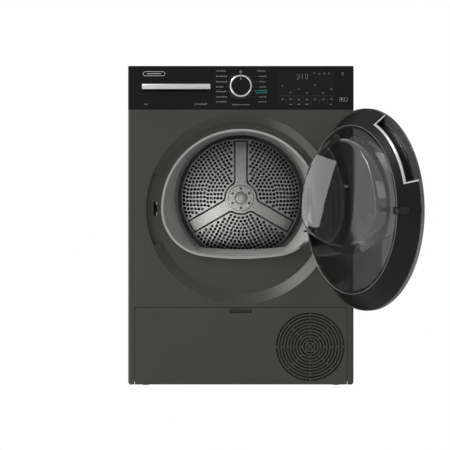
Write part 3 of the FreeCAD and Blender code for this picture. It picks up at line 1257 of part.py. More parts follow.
def exchanger_cover():
    """Cover over the exchanger tunnel's mouth, with two pivot bosses for its levers."""
    y1 = FRONT + BASE_FRONT_Y
    z0, z1 = BASE_Z + 6, BASE_Z + BASE_H - 4
    plate = box(TUNNEL_X0 + 30, TUNNEL_X1 - 2, y1 - 4, y1, z0 + 14, z1)
    pad = box(TUNNEL_X0 + 60, TUNNEL_X1 - 50, y1 - 8, y1 - 4, z0 + 40, z1 - 30)
    pivots = [rod_y(x, LEVER_Z, LEVER_PIN_R, y1 - 13, y1 - 4) for x in LEVER_XS]
    return joined([plate, pad] + pivots)


def cover_lever(x):
    """Quarter-turn lever: a boss and a finger wing, upright when locked."""
    y0 = FRONT + BASE_FRONT_Y - 12
    boss = rod_y(x, LEVER_Z, 9.0, y0, y0 + 7.7)
    wing = box(x - 4.5, x + 4.5, y0, y0 + 5, LEVER_Z, LEVER_Z + 34)
    return joined([boss, wing]).cut(rod_y(x, LEVER_Z, LEVER_PIN_R + RUN, y0 - 1, y0 + 9))


def cross_braces():
    """Two rails that tie the side panels together under the worktop."""
    rails = []
    for y in (-150.0, 190.0):
        rail = box(-INNER_X, INNER_X, y, y + 30, TOP_Z - 3, TOP_Z)
        ends = [box(-INNER_X, -INNER_X + 2, y, y + 30, TOP_Z - 24, TOP_Z),
                box(INNER_X - 2, INNER_X, y, y + 30, TOP_Z - 24, TOP_Z)]
        rails.append(joined([rail] + ends))
    return Part.makeCompound(rails)


def drain_spigot():
    """Hose outlet at the back for draining without the tank."""
    y0 = BACK
    flange = rod_y(SPIGOT_X, SPIGOT_Z, SPIGOT_R + 6, y0, y0 + 3)
    tube = rod_y(SPIGOT_X, SPIGOT_Z, SPIGOT_R, y0 + 3, y0 + 3 + SPIGOT_L)
    neck = rod_y(SPIGOT_X, SPIGOT_Z, SPIGOT_R - 1, y0 - 8, y0)
    return joined([flange, tube, neck]).cut(rod_y(SPIGOT_X, SPIGOT_Z, 6.5, y0 - 20, y0 + 40))


def mains_inlet():
    """Gland in the rear panel where the supply cord enters."""
    y0 = BACK
    flange = rod_y(INLET_X, INLET_Z, INLET_R + 4, y0, y0 + 3)
    barrel = rod_y(INLET_X, INLET_Z, INLET_R, y0 - 12, y0 + 10)
    return joined([flange, barrel]).cut(rod_y(INLET_X, INLET_Z, 4.5, y0 - 20, y0 + 20))


# ---------------------------------------------------------------- output
os.makedirs("parts", exist_ok=True)

write("side_panel_left", side_panel(-1))
write("side_panel_right", side_panel(1))
write("worktop", worktop())
write("rear_panel", rear_panel())
write("front_panel", front_panel())
write("mouth_seal", mouth_seal())
write("front_bulkhead", front_bulkhead())
write("moisture_strips", Part.makeCompound([sensor_strip(-1, 0), sensor_strip(1, 0)]))
write("drum_lamp_lens", drum_lamp_lens())
write("front_felt_seal", front_felt_seal())
write("rear_bulkhead", rear_bulkhead())
write("drum_bearing", drum_bearing())
write("roller_axles", roller_axles())
write("roller_left", roller(-1))
write("roller_right", roller(1))
write("filter_frame", filter_frame())
write("filter_mesh", filter_mesh())
write("drum_shell", drum_shell())
write("drum_back", drum_back())
write("drum_hub", drum_hub())
write("drum_hub_screws", drum_hub_screws())
write("drum_lifters", drum_lifters())
write("door_disc", opened(door_disc()))
write("door_trim_ring", opened(door_trim_ring()))
write("door_frame", opened(door_frame()))
write("door_bowl", opened(door_bowl()))
write("door_latch_hook", opened(door_latch_hook()))
write("door_hinge_leaf", opened(door_hinge_leaf()))
write("hinge_bracket", hinge_bracket())
write("hinge_screws", hinge_screws())
write("door_catch", door_catch())
write("control_fascia", control_fascia())
write("display_window", display_window())
write("control_board", control_board())
write("knob_ring", knob_ring())
write("knob_cap", knob_cap())
write("start_button", start_button())
write("tank_front", tank_front())
write("tank_handle_bar", tank_handle_bar())
write("water_tank", water_tank())
write("tank_housing", tank_housing())
write("service_flap", service_flap())
write("flap_grille", flap_grille())
write("base_tray", base_tray())
write("feet", feet())
write("motor_body", motor_body())
write("motor_shaft", motor_shaft())
write("fan_impeller", fan_impeller())
write("fan_housing", fan_housing())
write("drive_belt", drive_belt())
write("compressor", compressor())
write("heat_exchangers", heat_exchangers())
write("refrigerant_pipes", refrigerant_pipes())
write("condensate_pump", condensate_pump())
write("exchanger_cover", exchanger_cover())
write("cover_lever_left", cover_lever(LEVER_XS[0]))
write("cover_lever_right", cover_lever(LEVER_XS[1]))
write("cross_braces", cross_braces())
write("drain_spigot", drain_spigot())
write("mains_inlet", mains_inlet())
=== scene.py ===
import json
import math
import random

import bmesh
import bpy
from mathutils import Matrix, Vector


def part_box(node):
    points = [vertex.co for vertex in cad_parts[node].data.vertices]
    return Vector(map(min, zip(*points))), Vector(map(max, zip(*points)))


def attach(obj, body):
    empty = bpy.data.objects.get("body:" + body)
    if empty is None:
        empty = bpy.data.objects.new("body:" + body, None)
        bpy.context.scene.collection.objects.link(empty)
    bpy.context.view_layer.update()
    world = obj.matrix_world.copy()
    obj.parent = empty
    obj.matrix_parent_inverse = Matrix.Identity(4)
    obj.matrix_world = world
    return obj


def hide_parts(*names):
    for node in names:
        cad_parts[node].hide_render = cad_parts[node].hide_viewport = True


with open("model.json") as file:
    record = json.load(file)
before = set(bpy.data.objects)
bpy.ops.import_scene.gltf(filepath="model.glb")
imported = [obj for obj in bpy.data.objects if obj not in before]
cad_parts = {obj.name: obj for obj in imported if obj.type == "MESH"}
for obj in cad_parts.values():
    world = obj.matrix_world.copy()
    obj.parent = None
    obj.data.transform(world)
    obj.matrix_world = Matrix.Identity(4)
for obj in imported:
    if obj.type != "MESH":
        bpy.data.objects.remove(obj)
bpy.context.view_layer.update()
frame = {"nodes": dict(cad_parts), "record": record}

nodes = frame["nodes"]
body_of_node = {n: b for b, names in frame["record"]["behaviour"]["bodies"].items() for n in names}
slot_of_node = {s["node"]: s["material_slot"] for s in frame["record"]["subparts"]}

# The main places, in metres, in the same frame as the cabinet.
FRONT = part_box("control_fascia")[0][1]
KNOB_Z = 0.795
DRUM_Z = 0.5
DOOR_Z = 0.472
OPEN_TURN = Matrix.Rotation(math.radians(117), 4, "Z")
HINGE = Vector((0.200, FRONT - 0.021, 0.0))

# Thickness of a printed mark, and the steps of a full turn.
PROUD = 0.00025
ROUND = 120


# ---------------------------------------------------------------- materials
# Nearly all of a noise's values lie between these two.
NOISE_LOW, NOISE_HIGH = 0.3, 0.7


def new_material(name):
    """A material, its node tree and its shader."""
    m = bpy.data.materials.new(name)
    m.use_nodes = True
    tree = m.node_tree
    return m, tree, tree.nodes["Principled BSDF"]


def set_values(shader, **values):
    """Sets the shader's own sockets; an underscore stands for a space in a socket's name."""
    for key, value in values.items():
        shader.inputs[key.replace("_", " ")].default_value = value


def add(tree, kind, **settings):
    """A new node with its properties set."""
    node = tree.nodes.new(kind)
    for key, value in settings.items():
        setattr(node, key, value)
    return node


def object_noise(tree, scale, detail, stretch=(1, 1, 1)):
    """Noise that is fixed to the piece, finer with a larger scale."""
    place = add(tree, "ShaderNodeTexCoord")
    mapping = add(tree, "ShaderNodeMapping")
    mapping.inputs["Scale"].default_value = stretch
    noise = add(tree, "ShaderNodeTexNoise")
    noise.inputs["Scale"].default_value = scale
    noise.inputs["Detail"].default_value = detail
    tree.links.new(place.outputs["Object"], mapping.inputs["Vector"])
    tree.links.new(mapping.outputs["Vector"], noise.inputs["Vector"])
    return noise


def spread(tree, source, low, high):
    """The middle of the noise's range, spread from low to high."""
    ramp = add(tree, "ShaderNodeMapRange")
    ramp.inputs["From Min"].default_value = NOISE_LOW
    ramp.inputs["From Max"].default_value = NOISE_HIGH
    ramp.inputs["To Min"].default_value = low
    ramp.inputs["To Max"].default_value = high
    tree.links.new(source, ramp.inputs["Value"])
    return ramp.outputs["Result"]


def tinted(tree, source, dark, light, socket):
    """Colours a socket between a dark and a light shade."""
    ramp = add(tree, "ShaderNodeValToRGB")
    ramp.color_ramp.elements[0].position = NOISE_LOW
    ramp.color_ramp.elements[1].position = NOISE_HIGH
    ramp.color_ramp.elements[0].color = (*dark, 1)
    ramp.color_ramp.elements[1].color = (*light, 1)
    tree.links.new(source, ramp.inputs["Fac"])
    tree.links.new(ramp.outputs["Color"], socket)


def bumped(tree, shader, source, strength, distance):
    """Gives the surface a fine relief."""
    bump = add(tree, "ShaderNodeBump")
    bump.inputs["Strength"].default_value = strength
    bump.inputs["Distance"].default_value = distance
    tree.links.new(source, bump.inputs["Height"])
    tree.links.new(bump.outputs["Normal"], shader.inputs["Normal"])


def surface(name, colour, rough, metal=0.0, vary=0.06, scale=300.0, grain=0.03, depth=0.0002,
            stretch=(1, 1, 1), **extra):
    """A solid finish: slight colour and gloss variation, and a fine grain in relief."""
    m, tree, shader = new_material(name)
    set_values(shader, Metallic=metal, **extra)
    broad = object_noise(tree, 9.0, 3.0)
    dark = [c * (1 - vary) for c in colour]
    light = [min(1.0, c * (1 + vary)) for c in colour]
    tinted(tree, broad.outputs["Fac"], dark, light, shader.inputs["Base Color"])
    fine = object_noise(tree, scale, 3.0, stretch)
    spread_rough = spread(tree, fine.outputs["Fac"], rough * 0.9, min(1.0, rough * 1.1))
    tree.links.new(spread_rough, shader.inputs["Roughness"])
    bumped(tree, shader, fine.outputs["Fac"], grain, depth)
    m.diffuse_color = (*colour, 1)
    return m


def smoked_glass(name, colour, rough, alpha, **extra):
    """A dark see-through sheet, faintly uneven in gloss."""
    m, tree, shader = new_material(name)
    set_values(shader, Base_Color=(*colour, 1), Alpha=alpha, **extra)
    haze = object_noise(tree, 7.0, 1.0)
    tree.links.new(spread(tree, haze.outputs["Fac"], rough * 0.8, rough * 1.2), shader.inputs["Roughness"])
    m.diffuse_color = (*colour, 0.4)
    return m


def clear_moulding(name, colour, rough, ior=1.46):
    """Water-clear plastic with real thickness, faintly uneven in gloss."""
    m, tree, shader = new_material(name)
    set_values(shader, Base_Color=(*colour, 1), Transmission_Weight=1.0, IOR=ior)
    haze = object_noise(tree, 6.0, 1.0)
    tree.links.new(spread(tree, haze.outputs["Fac"], rough * 0.6, rough * 1.4), shader.inputs["Roughness"])
    m.diffuse_color = (*colour, 0.3)
    return m


graphite = surface("graphite paint", (0.064, 0.063, 0.054), 0.42, scale=900.0, grain=0.05,
                   Coat_Weight=0.15, Coat_Roughness=0.3)
galvanised = surface("galvanised sheet", (0.42, 0.43, 0.44), 0.42, 1.0, vary=0.2, scale=60.0)
stainless = surface("stainless steel", (0.47, 0.47, 0.46), 0.18, 1.0, vary=0.05, scale=260.0, grain=0.015)
drum_steel = surface("drum steel", (0.66, 0.66, 0.65), 0.30, 0.75, vary=0.06, scale=400.0, grain=0.08,
                     stretch=(1, 0.05, 1))
chrome = surface("bright chrome", (0.92, 0.92, 0.92), 0.18, 0.62, vary=0.02, scale=200.0, grain=0.01)
dark_chrome = surface("dark chrome", (0.32, 0.32, 0.325), 0.2, 1.0, vary=0.03, scale=200.0, grain=0.01)
# Near-white satin strip: a painted glint for the light caught along the door's hand hold.
painted_glint_trim = surface("satin trim, painted glint", (0.86, 0.86, 0.86), 0.26, 0.35, vary=0.02, scale=300.0, grain=0.01)
brushed = surface("brushed aluminium", (0.97, 0.97, 0.97), 0.34, 0.4, vary=0.04, scale=700.0, grain=0.12,
                  stretch=(0.03, 1, 1))
piano = surface("black fascia plastic", (0.0085, 0.0085, 0.0085), 0.24, vary=0.1, scale=700.0, grain=0.01,
                Specular_IOR_Level=0.3)
door_black = surface("door frame plastic", (0.0085, 0.0085, 0.009), 0.42, vary=0.1, scale=600.0, grain=0.02,
                     Specular_IOR_Level=0.28)
# Light grey for the bowl's edge: a painted glint for the light caught on its rim.
painted_edge_glint = surface("bowl edge grey, painted glint", (0.30, 0.31, 0.31), 0.2, 0.2, vary=0.04, scale=300.0, grain=0.01)
# Lighter and less metallic than the drum steel: a painted glint on the drum's rolled beads.
painted_rim_glint_steel = surface("rolled drum rim, painted glint", (0.80, 0.80, 0.79), 0.30, 0.15, vary=0.04, scale=300.0, grain=0.02)
dark_plastic = surface("dark moulded plastic", (0.018, 0.018, 0.018), 0.5, vary=0.12, scale=900.0, grain=0.12)
grey_plastic = surface("grey moulded plastic", (0.46, 0.46, 0.45), 0.42, vary=0.06, scale=800.0, grain=0.08)
seal_grey = surface("lip plastic", (0.50, 0.50, 0.49), 0.38, vary=0.06, scale=700.0, grain=0.06)
lifter_grey = surface("lifter plastic", (0.30, 0.30, 0.295), 0.45, vary=0.06, scale=700.0, grain=0.08)
white_plastic = surface("tank plastic", (0.70, 0.71, 0.72), 0.4, vary=0.03, scale=500.0)
rubber = surface("black rubber", (0.016, 0.016, 0.016), 0.75, vary=0.15, scale=500.0, grain=0.15)
felt = surface("grey felt", (0.22, 0.21, 0.20), 0.95, vary=0.2, scale=1500.0, grain=0.6, depth=0.0006)
copper = surface("copper tube", (0.72, 0.36, 0.20), 0.3, 1.0, vary=0.1)
enamel = surface("black enamel", (0.012, 0.012, 0.013), 0.25, vary=0.1)
board_green = surface("circuit board lacquer", (0.02, 0.13, 0.05), 0.35, vary=0.2, scale=90.0)
window_black = surface("display pane", (0.006, 0.006, 0.0065), 0.08, vary=0.05, scale=500.0, grain=0.0)
smoked = smoked_glass("smoked pane", (0.012, 0.012, 0.013), 0.06, 0.78)
bowl_clear = clear_moulding("clear bowl", (0.90, 0.91, 0.90), 0.03)
lens_clear = smoked_glass("lamp lens", (0.75, 0.75, 0.72), 0.15, 0.8)
print_grey = surface("printed marks", (0.24, 0.24, 0.24), 0.5, vary=0.03, scale=500.0)
print_dim = surface("faint printed marks", (0.16, 0.16, 0.16), 0.5, vary=0.03, scale=500.0)
print_white = surface("bright printed marks", (0.72, 0.72, 0.72), 0.5, vary=0.03, scale=500.0)
print_teal = surface("teal printed marks", (0.03, 0.26, 0.24), 0.5, vary=0.03, scale=500.0)


def mesh_cloth():
    """Lint screen: a fine square weave."""
    m, tree, shader = new_material("lint screen")
    set_values(shader, Roughness=0.8)
    place = add(tree, "ShaderNodeTexCoord")
    across = add(tree, "ShaderNodeTexWave", bands_direction="X")
    along = add(tree, "ShaderNodeTexWave", bands_direction="Z")
    both = add(tree, "ShaderNodeMath", operation="MAXIMUM")
    for wave in (across, along):
        wave.inputs["Scale"].default_value = 180.0
        tree.links.new(place.outputs["Object"], wave.inputs["Vector"])
    tree.links.new(across.outputs["Fac"], both.inputs[0])
    tree.links.new(along.outputs["Fac"], both.inputs[1])
    tinted(tree, both.outputs[0], (0.05, 0.05, 0.05), (0.3, 0.3, 0.3), shader.inputs["Base Color"])
    bumped(tree, shader, both.outputs[0], 0.5, 0.0003)
    return m


screen = mesh_cloth()

finishes = {
    "graphite_paint": graphite, "galvanised_steel": galvanised, "stainless_steel": stainless,
    "chrome": chrome, "brushed_aluminium": brushed, "black_plastic": piano, "dark_plastic": dark_plastic,
    "grey_plastic": grey_plastic, "smoked_pane": smoked, "clear_moulding": bowl_clear,
    "display_glass": window_black, "rubber": rubber, "felt": felt, "mesh": screen, "copper": copper,
    "black_enamel": enamel, "board": board_green, "white_plastic": white_plastic,
}
special = {
    "mouth_seal": seal_grey, "drum_lifters": lifter_grey, "door_frame": door_black,
    # The rear bulkhead gets the dark plastic as painted shade, so that the drum's holes look dark.
    "drum_shell": drum_steel, "rear_bulkhead": dark_plastic, "door_trim_ring": dark_chrome,
    "door_hinge_leaf": enamel, "hinge_bracket": enamel, "drum_back": stainless, "drum_lamp_lens": lens_clear,
}


def material_for(node):
    """A node's own finish if it has one, and else that of its slot."""
    return special.get(node, finishes[slot_of_node[node]])


for node, obj in nodes.items():
    obj.data.materials.clear()
    obj.data.materials.append(material_for(node))


# ---------------------------------------------------------------- pieces
def finished(bm, name, body, material, sharp=math.radians(32)):
    """Turns a bmesh into a piece that rides on a body."""
    for face in bm.faces:
        face.smooth = True
    for edge in bm.edges:
        if edge.is_manifold and edge.calc_face_angle(0.0) > sharp:
            edge.smooth = False
    mesh = bpy.data.meshes.new(name)
    bm.to_mesh(mesh)
    bm.free()
    piece = bpy.data.objects.new(name, mesh)
    bpy.context.scene.collection.objects.link(piece)
    mesh.materials.append(material)
    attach(piece, body)
    return piece


def refined(node, width=0.0, segments=2, sharp_deg=32):
    """A joined, smooth-shaded copy of a CAD node, its corners softened, in the node's place."""
    bm = bmesh.new()
    bm.from_mesh(nodes[node].data)
    bmesh.ops.remove_doubles(bm, verts=bm.verts, dist=0.00001)
    bmesh.ops.dissolve_degenerate(bm, edges=bm.edges, dist=0.000005)
    piece = finished(bm, node.replace("_", "-") + "-skin", body_of_node[node], material_for(node),
                     math.radians(sharp_deg))
    if width:
        soften = piece.modifiers.new("soft corners", "BEVEL")
        soften.width = width
        soften.segments = segments
        soften.limit_method = "ANGLE"
        soften.angle_limit = math.radians(40)
        soften.harden_normals = True
        soften.use_clamp_overlap = True
    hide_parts(node)
    return piece


for node, width in (
        ("side_panel_left", 0.0), ("side_panel_right", 0.0), ("worktop", 0.0012), ("front_panel", 0.0),
        ("control_fascia", 0.0006), ("tank_front", 0.0005),
        ("knob_ring", 0.0), ("knob_cap", 0.0), ("start_button", 0.0004), ("service_flap", 0.0006),
        ("door_disc", 0.0), ("door_trim_ring", 0.0003), ("door_frame", 0.0), ("door_bowl", 0.0),
        ("mouth_seal", 0.0), ("front_bulkhead", 0.0), ("drum_back", 0.0), ("drum_hub", 0.0003),
        ("drum_lifters", 0.004), ("drum_shell", 0.0), ("flap_grille", 0.0), ("feet", 0.0008),
        ("door_latch_hook", 0.0003), ("drum_hub_screws", 0.0)):
    refined(node, width)


def block(bm, low, high):
    """A closed box between two corners, for a part of a larger piece."""
    made = bmesh.ops.create_cube(bm, size=1.0)
    size = Vector(high) - Vector(low)
    middle = (Vector(high) + Vector(low)) / 2
    bmesh.ops.transform(bm, matrix=Matrix.Translation(middle) @ Matrix.Diagonal((*size, 1)),
                        verts=made["verts"])


def turned_ring(bm, outline, z):
    """Turns an outline of (radius, y) points once round the line y at height z."""
    loop = [bm.verts.new((r, y, z)) for r, y in outline]
    edges = [bm.edges.new(pair) for pair in zip(loop, loop[1:] + loop[:1])]
    bmesh.ops.spin(bm, geom=loop + edges, cent=(0, 0, z), axis=(0, 1, 0), angle=math.radians(360),
                   steps=ROUND, use_merge=True)


def handle_bar():
    """Bowed bar with soft ends, on a thin web that joins it to the drawer front."""
    low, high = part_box("tank_handle_bar")
    middle_z = (low[2] + high[2]) / 2
    half_z = 0.0070
    bow = 0.0032
    bm = bmesh.new()
    made = bmesh.ops.create_circle(bm, cap_ends=True, segments=40, radius=1.0)
    upright = Matrix.Rotation(math.radians(90), 4, "Y")
    place = Matrix.Translation((low[0], low[1] + bow, middle_z))
    bmesh.ops.transform(bm, matrix=place @ Matrix.Diagonal((1, bow, half_z, 1)) @ upright,
                        verts=made["verts"])
    pushed = bmesh.ops.extrude_face_region(bm, geom=bm.faces[:])
    moved = [v for v in pushed["geom"] if isinstance(v, bmesh.types.BMVert)]
    bmesh.ops.translate(bm, vec=(high[0] - low[0], 0, 0), verts=moved)
    ends = [e for e in bm.edges if abs(e.verts[0].co.x - e.verts[1].co.x) < 0.00001]
    bmesh.ops.bevel(bm, geom=ends, offset=0.0006, segments=2, affect="EDGES", profile=0.5, material=-1)
    bmesh.ops.recalc_face_normals(bm, faces=bm.faces)
    inset, post = 0.001, 0.0025
    web_low, web_high = high[2] - 0.005, high[2] - 0.003
    block(bm, (low[0] + inset, low[1] + bow, web_low), (high[0] - inset, high[1], web_high))
    for x in (low[0] + inset, high[0] - inset - post):
        block(bm, (x, low[1] + bow, low[2] + 0.004), (x + post, high[1], web_low))
    bar = finished(bm, "handle-bar", "tank_drawer", brushed)
    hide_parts("tank_handle_bar")


handle_bar()


def drum_rim():
    """Two rolled beads and the band between them, on the step of the drum's end wall, in a lighter steel that
    is a painted glint.
    """
    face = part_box("drum_back")[0][1] - 0.0002
    rises = ((0.1960, 0.0), (0.1964, 0.0012), (0.1975, 0.0018), (0.1986, 0.0012), (0.1992, 0.0004),
             (0.2030, 0.0004), (0.2036, 0.0012), (0.2047, 0.0018), (0.2058, 0.0012), (0.2062, 0.0))
    bm = bmesh.new()
    turned_ring(bm, [(r, face - rise) for r, rise in rises], DRUM_Z)
    bmesh.ops.recalc_face_normals(bm, faces=bm.faces)
    finished(bm, "drum-rim-beads", "drum", painted_rim_glint_steel)


drum_rim()


# The hand hold's inner radius, its two ends as angles from the door's right, and the strip along it that
# carries a painted glint.
NOTCH_R = 0.225
NOTCH_START, NOTCH_STOP = math.radians(180 - 65.4), math.radians(180 - 16.6)
SLOPE_TOP_R = 0.2455
GLINT_STRIP_WIDTH = 0.0035
GLINT_STRIP_DEPTH = 0.002


def frame_depth(r):
    """Depth behind the front plane of the door frame's sloped wall at a radius, door closed."""
    return -0.029 + (SLOPE_TOP_R - r) * 0.038 / 0.0375


def swung_open(bm):
    """The door's pieces are drawn closed, and then swung open about its pin."""
    place = Matrix.Translation(HINGE) @ OPEN_TURN @ Matrix.Translation(-HINGE)
    bmesh.ops.transform(bm, matrix=place, verts=bm.verts)


def hand_hold_glint_strip():
    """Strip along the hand hold, near-white as a painted glint: its inner arc and its two ends, flush with
    the frame's slope.
    """
    lift = 0.0006
    bm = bmesh.new()
    inner = NOTCH_R - GLINT_STRIP_WIDTH

    def top(r):
        return FRONT + frame_depth(min(r, SLOPE_TOP_R)) + lift

    arc = [bm.verts.new((r, y, DOOR_Z)) for r, y in (
        (inner, top(inner) - GLINT_STRIP_DEPTH), (inner, top(inner)), (NOTCH_R, top(NOTCH_R)),
        (NOTCH_R, top(NOTCH_R) - GLINT_STRIP_DEPTH))]
    turn = Matrix.Rotation(-NOTCH_START, 3, "Y")
    bmesh.ops.rotate(bm, cent=(0, 0, DOOR_Z), matrix=turn, verts=arc)
    face = bm.faces.new(arc)
    bmesh.ops.spin(bm, geom=[face], cent=(0, 0, DOOR_Z), axis=(0, 1, 0),
                   angle=-(NOTCH_STOP - NOTCH_START), steps=28)
    for angle, side in ((NOTCH_START, -1), (NOTCH_STOP, 1)):
        made = bmesh.ops.create_cube(bm, size=1.0)["verts"]
        for v in made:
            r = 0.2478 if v.co.x > 0 else inner
            y = top(r) if v.co.y > 0 else top(r) - GLINT_STRIP_DEPTH
            across = side * GLINT_STRIP_WIDTH if v.co.z > 0 else -side * 0.0002
            v.co = (r, y, DOOR_Z + across)
        bmesh.ops.rotate(bm, cent=(0, 0, DOOR_Z), matrix=Matrix.Rotation(-angle, 3, "Y"), verts=made)
    swung_open(bm)
    bmesh.ops.recalc_face_normals(bm, faces=bm.faces)
    finished(bm, "hand-hold-glint-strip", "door", painted_glint_trim)


hand_hold_glint_strip()


def bowl_rim_glint():
    """Thin raised edge where the bowl's flat rim meets the frame, in light grey as a painted glint."""
    face = FRONT + 0.009
    rises = ((0.2058, 0.0006), (0.2063, 0.0012), (0.2070, 0.0012), (0.2074, 0.0003))
    bm = bmesh.new()
    turned_ring(bm, [(r, face + rise) for r, rise in rises], DOOR_Z)
    swung_open(bm)
    bmesh.ops.recalc_face_normals(bm, faces=bm.faces)
    finished(bm, "bowl-edge-painted-glint", "door", painted_edge_glint)


bowl_rim_glint()


def plate(bm, x0, x1, z0, z1, y, depth=PROUD):
    """A thin printed mark standing on the face at y."""
    made = bmesh.ops.create_cube(bm, size=1.0)
    size = Vector((x1 - x0, depth, z1 - z0))
    middle = Vector(((x0 + x1) / 2, y - depth / 2, (z0 + z1) / 2))
    bmesh.ops.transform(bm, matrix=Matrix.Translation(middle) @ Matrix.Diagonal((*size, 1)),
                        verts=made["verts"])


def ring_mark(bm, x, z, outer, inner, y, start_deg=0.0, stop_deg=360.0, steps=24):
    """A thin printed ring, or part of one."""
    whole = stop_deg - start_deg >= 360.0
    first = bmesh.ops.create_vert(bm, co=(x + inner, y, z))["vert"]
    second = bmesh.ops.create_vert(bm, co=(x + outer, y, z))["vert"]
    edge = bm.edges.new((first[0], second[0]))
    turn = Matrix.Rotation(-math.radians(start_deg), 3, "Y")
    bmesh.ops.rotate(bm, cent=(x, y, z), matrix=turn, verts=first + second)
    bmesh.ops.spin(bm, geom=first + second + [edge], cent=(x, y, z), axis=(0, 1, 0), steps=steps,
                   angle=-math.radians(stop_deg - start_deg), use_merge=whole)
    faces = {f for v in first + second for f in v.link_faces}
    edge_of_set = set(faces)
    while edge_of_set:
        edge_of_set = {g for f in edge_of_set for e in f.edges for g in e.link_faces} - faces
        faces |= edge_of_set
    pushed = bmesh.ops.extrude_face_region(bm, geom=list(faces))
    moved = [v for v in pushed["geom"] if isinstance(v, bmesh.types.BMVert)]
    bmesh.ops.translate(bm, vec=(0, -PROUD, 0), verts=moved)


def marks(name, body, material, draw):
    """One piece of printed marks, which a drawing function fills."""
    bm = bmesh.new()
    draw(bm)
    bmesh.ops.recalc_face_normals(bm, faces=bm.faces)
    finished(bm, name, body, material)


def word(bm, x0, x1, z, y=FRONT, height=0.0034, seed=1):
    """A made-up word: short strokes of uneven length that stand for small print."""
    pick = random.Random(seed)
    x = x0
    while x < x1 - 0.002:
        w = min(pick.uniform(0.0024, 0.0052), x1 - x)
        h = height * pick.choice((0.7, 0.7, 1.0))
        plate(bm, x, x + w, z - height * 0.35, z - height * 0.35 + h, y)
        x += w + 0.0013


# The dial's rows of names, top to bottom: height, end of the left names' lines, start of the right ones'.
ROWS_Z = (0.8356, 0.8213, 0.8070, 0.7933, 0.7812, 0.7671, 0.7541)
CHOSEN = 4
LEFT_END = (-0.034, -0.032, -0.030, -0.040, -0.034, -0.030, -0.034)
RIGHT_START = (0.040, 0.044, 0.045, 0.047, 0.0345, 0.044, 0.043)


def programme_names(bm):
    """Two columns of names beside the dial, and one line under it."""
    for i, z in enumerate(ROWS_Z):
        word(bm, -0.0655, LEFT_END[i] - 0.004, z, seed=10 + i)
        if i != CHOSEN:
            word(bm, RIGHT_START[i] + 0.003, 0.0668, z, seed=30 + i)
    word(bm, -0.0222, 0.0237, 0.7465, seed=61)


def leader_lines(bm):
    """Thin lines from the names to the dial, and three arcs round it."""
    line_r = 0.0315
    half = 0.0002
    for i, z in enumerate(ROWS_Z):
        rise = z - KNOB_Z
        if abs(rise) < 0.030:
            reach = math.sqrt(line_r ** 2 - rise ** 2) + 0.0005
            plate(bm, LEFT_END[i], -reach, z - half, z + half, FRONT)
            if i != CHOSEN:
                plate(bm, reach, RIGHT_START[i], z - half, z + half, FRONT)
    for start, stop, steps in ((20, 70, 10), (110, 160, 10), (200, 340, 24)):
        ring_mark(bm, 0.0, KNOB_Z, 0.0334, 0.0329, FRONT, start, stop, steps)


def teal_word(bm):
    """The chosen programme's name, in two lines."""
    word(bm, 0.0345, 0.0690, ROWS_Z[CHOSEN] + 0.0022, height=0.0040, seed=77)
    word(bm, 0.0390, 0.0690, ROWS_Z[CHOSEN] - 0.0034, height=0.0036, seed=78)


def power_sign(bm):
    """A broken ring with a stroke through its gap, over the dial."""
    ring_mark(bm, 0.0, 0.8335, 0.0032, 0.0025, FRONT, 120, 420, 20)
    plate(bm, -0.00035, 0.00035, 0.8335, 0.8373, FRONT)


def digit(bm, x, z, lit, height=0.0135, width=0.0068, y=FRONT):
    """Seven-stroke figure. Strokes: top, upper right, lower right, bottom, lower left, upper left, middle."""
    t = 0.0012
    right, top, middle = x + width, z + height, z + height / 2
    strokes = {
        "a": (x, right, top - t, top), "b": (right - t, right, middle, top),
        "c": (right - t, right, z, middle), "d": (x, right, z, z + t), "e": (x, x + t, z, middle),
        "f": (x, x + t, middle, top), "g": (x, right, middle - t / 2, middle + t / 2),
    }
    for key in lit:
        plate(bm, *strokes[key], y)


def clock(bm):
    """The figures of the time left."""
    digit(bm, 0.1475, 0.8140, "abgcd")
    plate(bm, 0.1570, 0.1580, 0.8172, 0.8184, FRONT)
    plate(bm, 0.1570, 0.1580, 0.8232, 0.8244, FRONT)
    digit(bm, 0.1560, 0.8140, "bc")
    digit(bm, 0.1700, 0.8140, "abcdef")


def small_icon(bm, x, z, seed, size=0.0042):
    """A generic sign: a ring, a bar, a bracket or a short row of drops."""
    kind = seed % 5
    half = size / 2
    if kind == 0:
        ring_mark(bm, x, z, half, half * 0.68, FRONT, steps=14)
    elif kind == 1:
        plate(bm, x - half, x + half, z - half * 0.25, z + half * 0.15, FRONT)
        plate(bm, x - half, x + half, z + half * 0.55, z + half * 0.95, FRONT)
    elif kind == 2:
        ring_mark(bm, x, z, half, half * 0.62, FRONT, 150, 390, 14)
        plate(bm, x - half * 0.15, x + half * 0.15, z, z + half, FRONT)
    elif kind == 3:
        for step in (-0.8, 0.0, 0.8):
            plate(bm, x + half * (step - 0.2), x + half * (step + 0.2), z - half * 0.8, z + half * 0.8, FRONT)
    else:
        plate(bm, x - half, x + half, z - half, z - half * 0.65, FRONT)
        plate(bm, x - half, x + half, z + half * 0.65, z + half, FRONT)
        plate(bm, x - half, x - half * 0.65, z - half, z + half, FRONT)


# The seven touch keys, from left to right.
TOUCH_X = [0.1096 + 0.02155 * i for i in range(7)]


def touch_signs(bm):
    """A sign on each touch key, and small print under four of them."""
    for i, x in enumerate(TOUCH_X):
        small_icon(bm, x, 0.7605, i, 0.0055)
    for i, x in enumerate((0.131, 0.1525, 0.174, 0.239)):
        word(bm, x - 0.004, x + 0.004, 0.7475, height=0.0028, seed=90 + i)


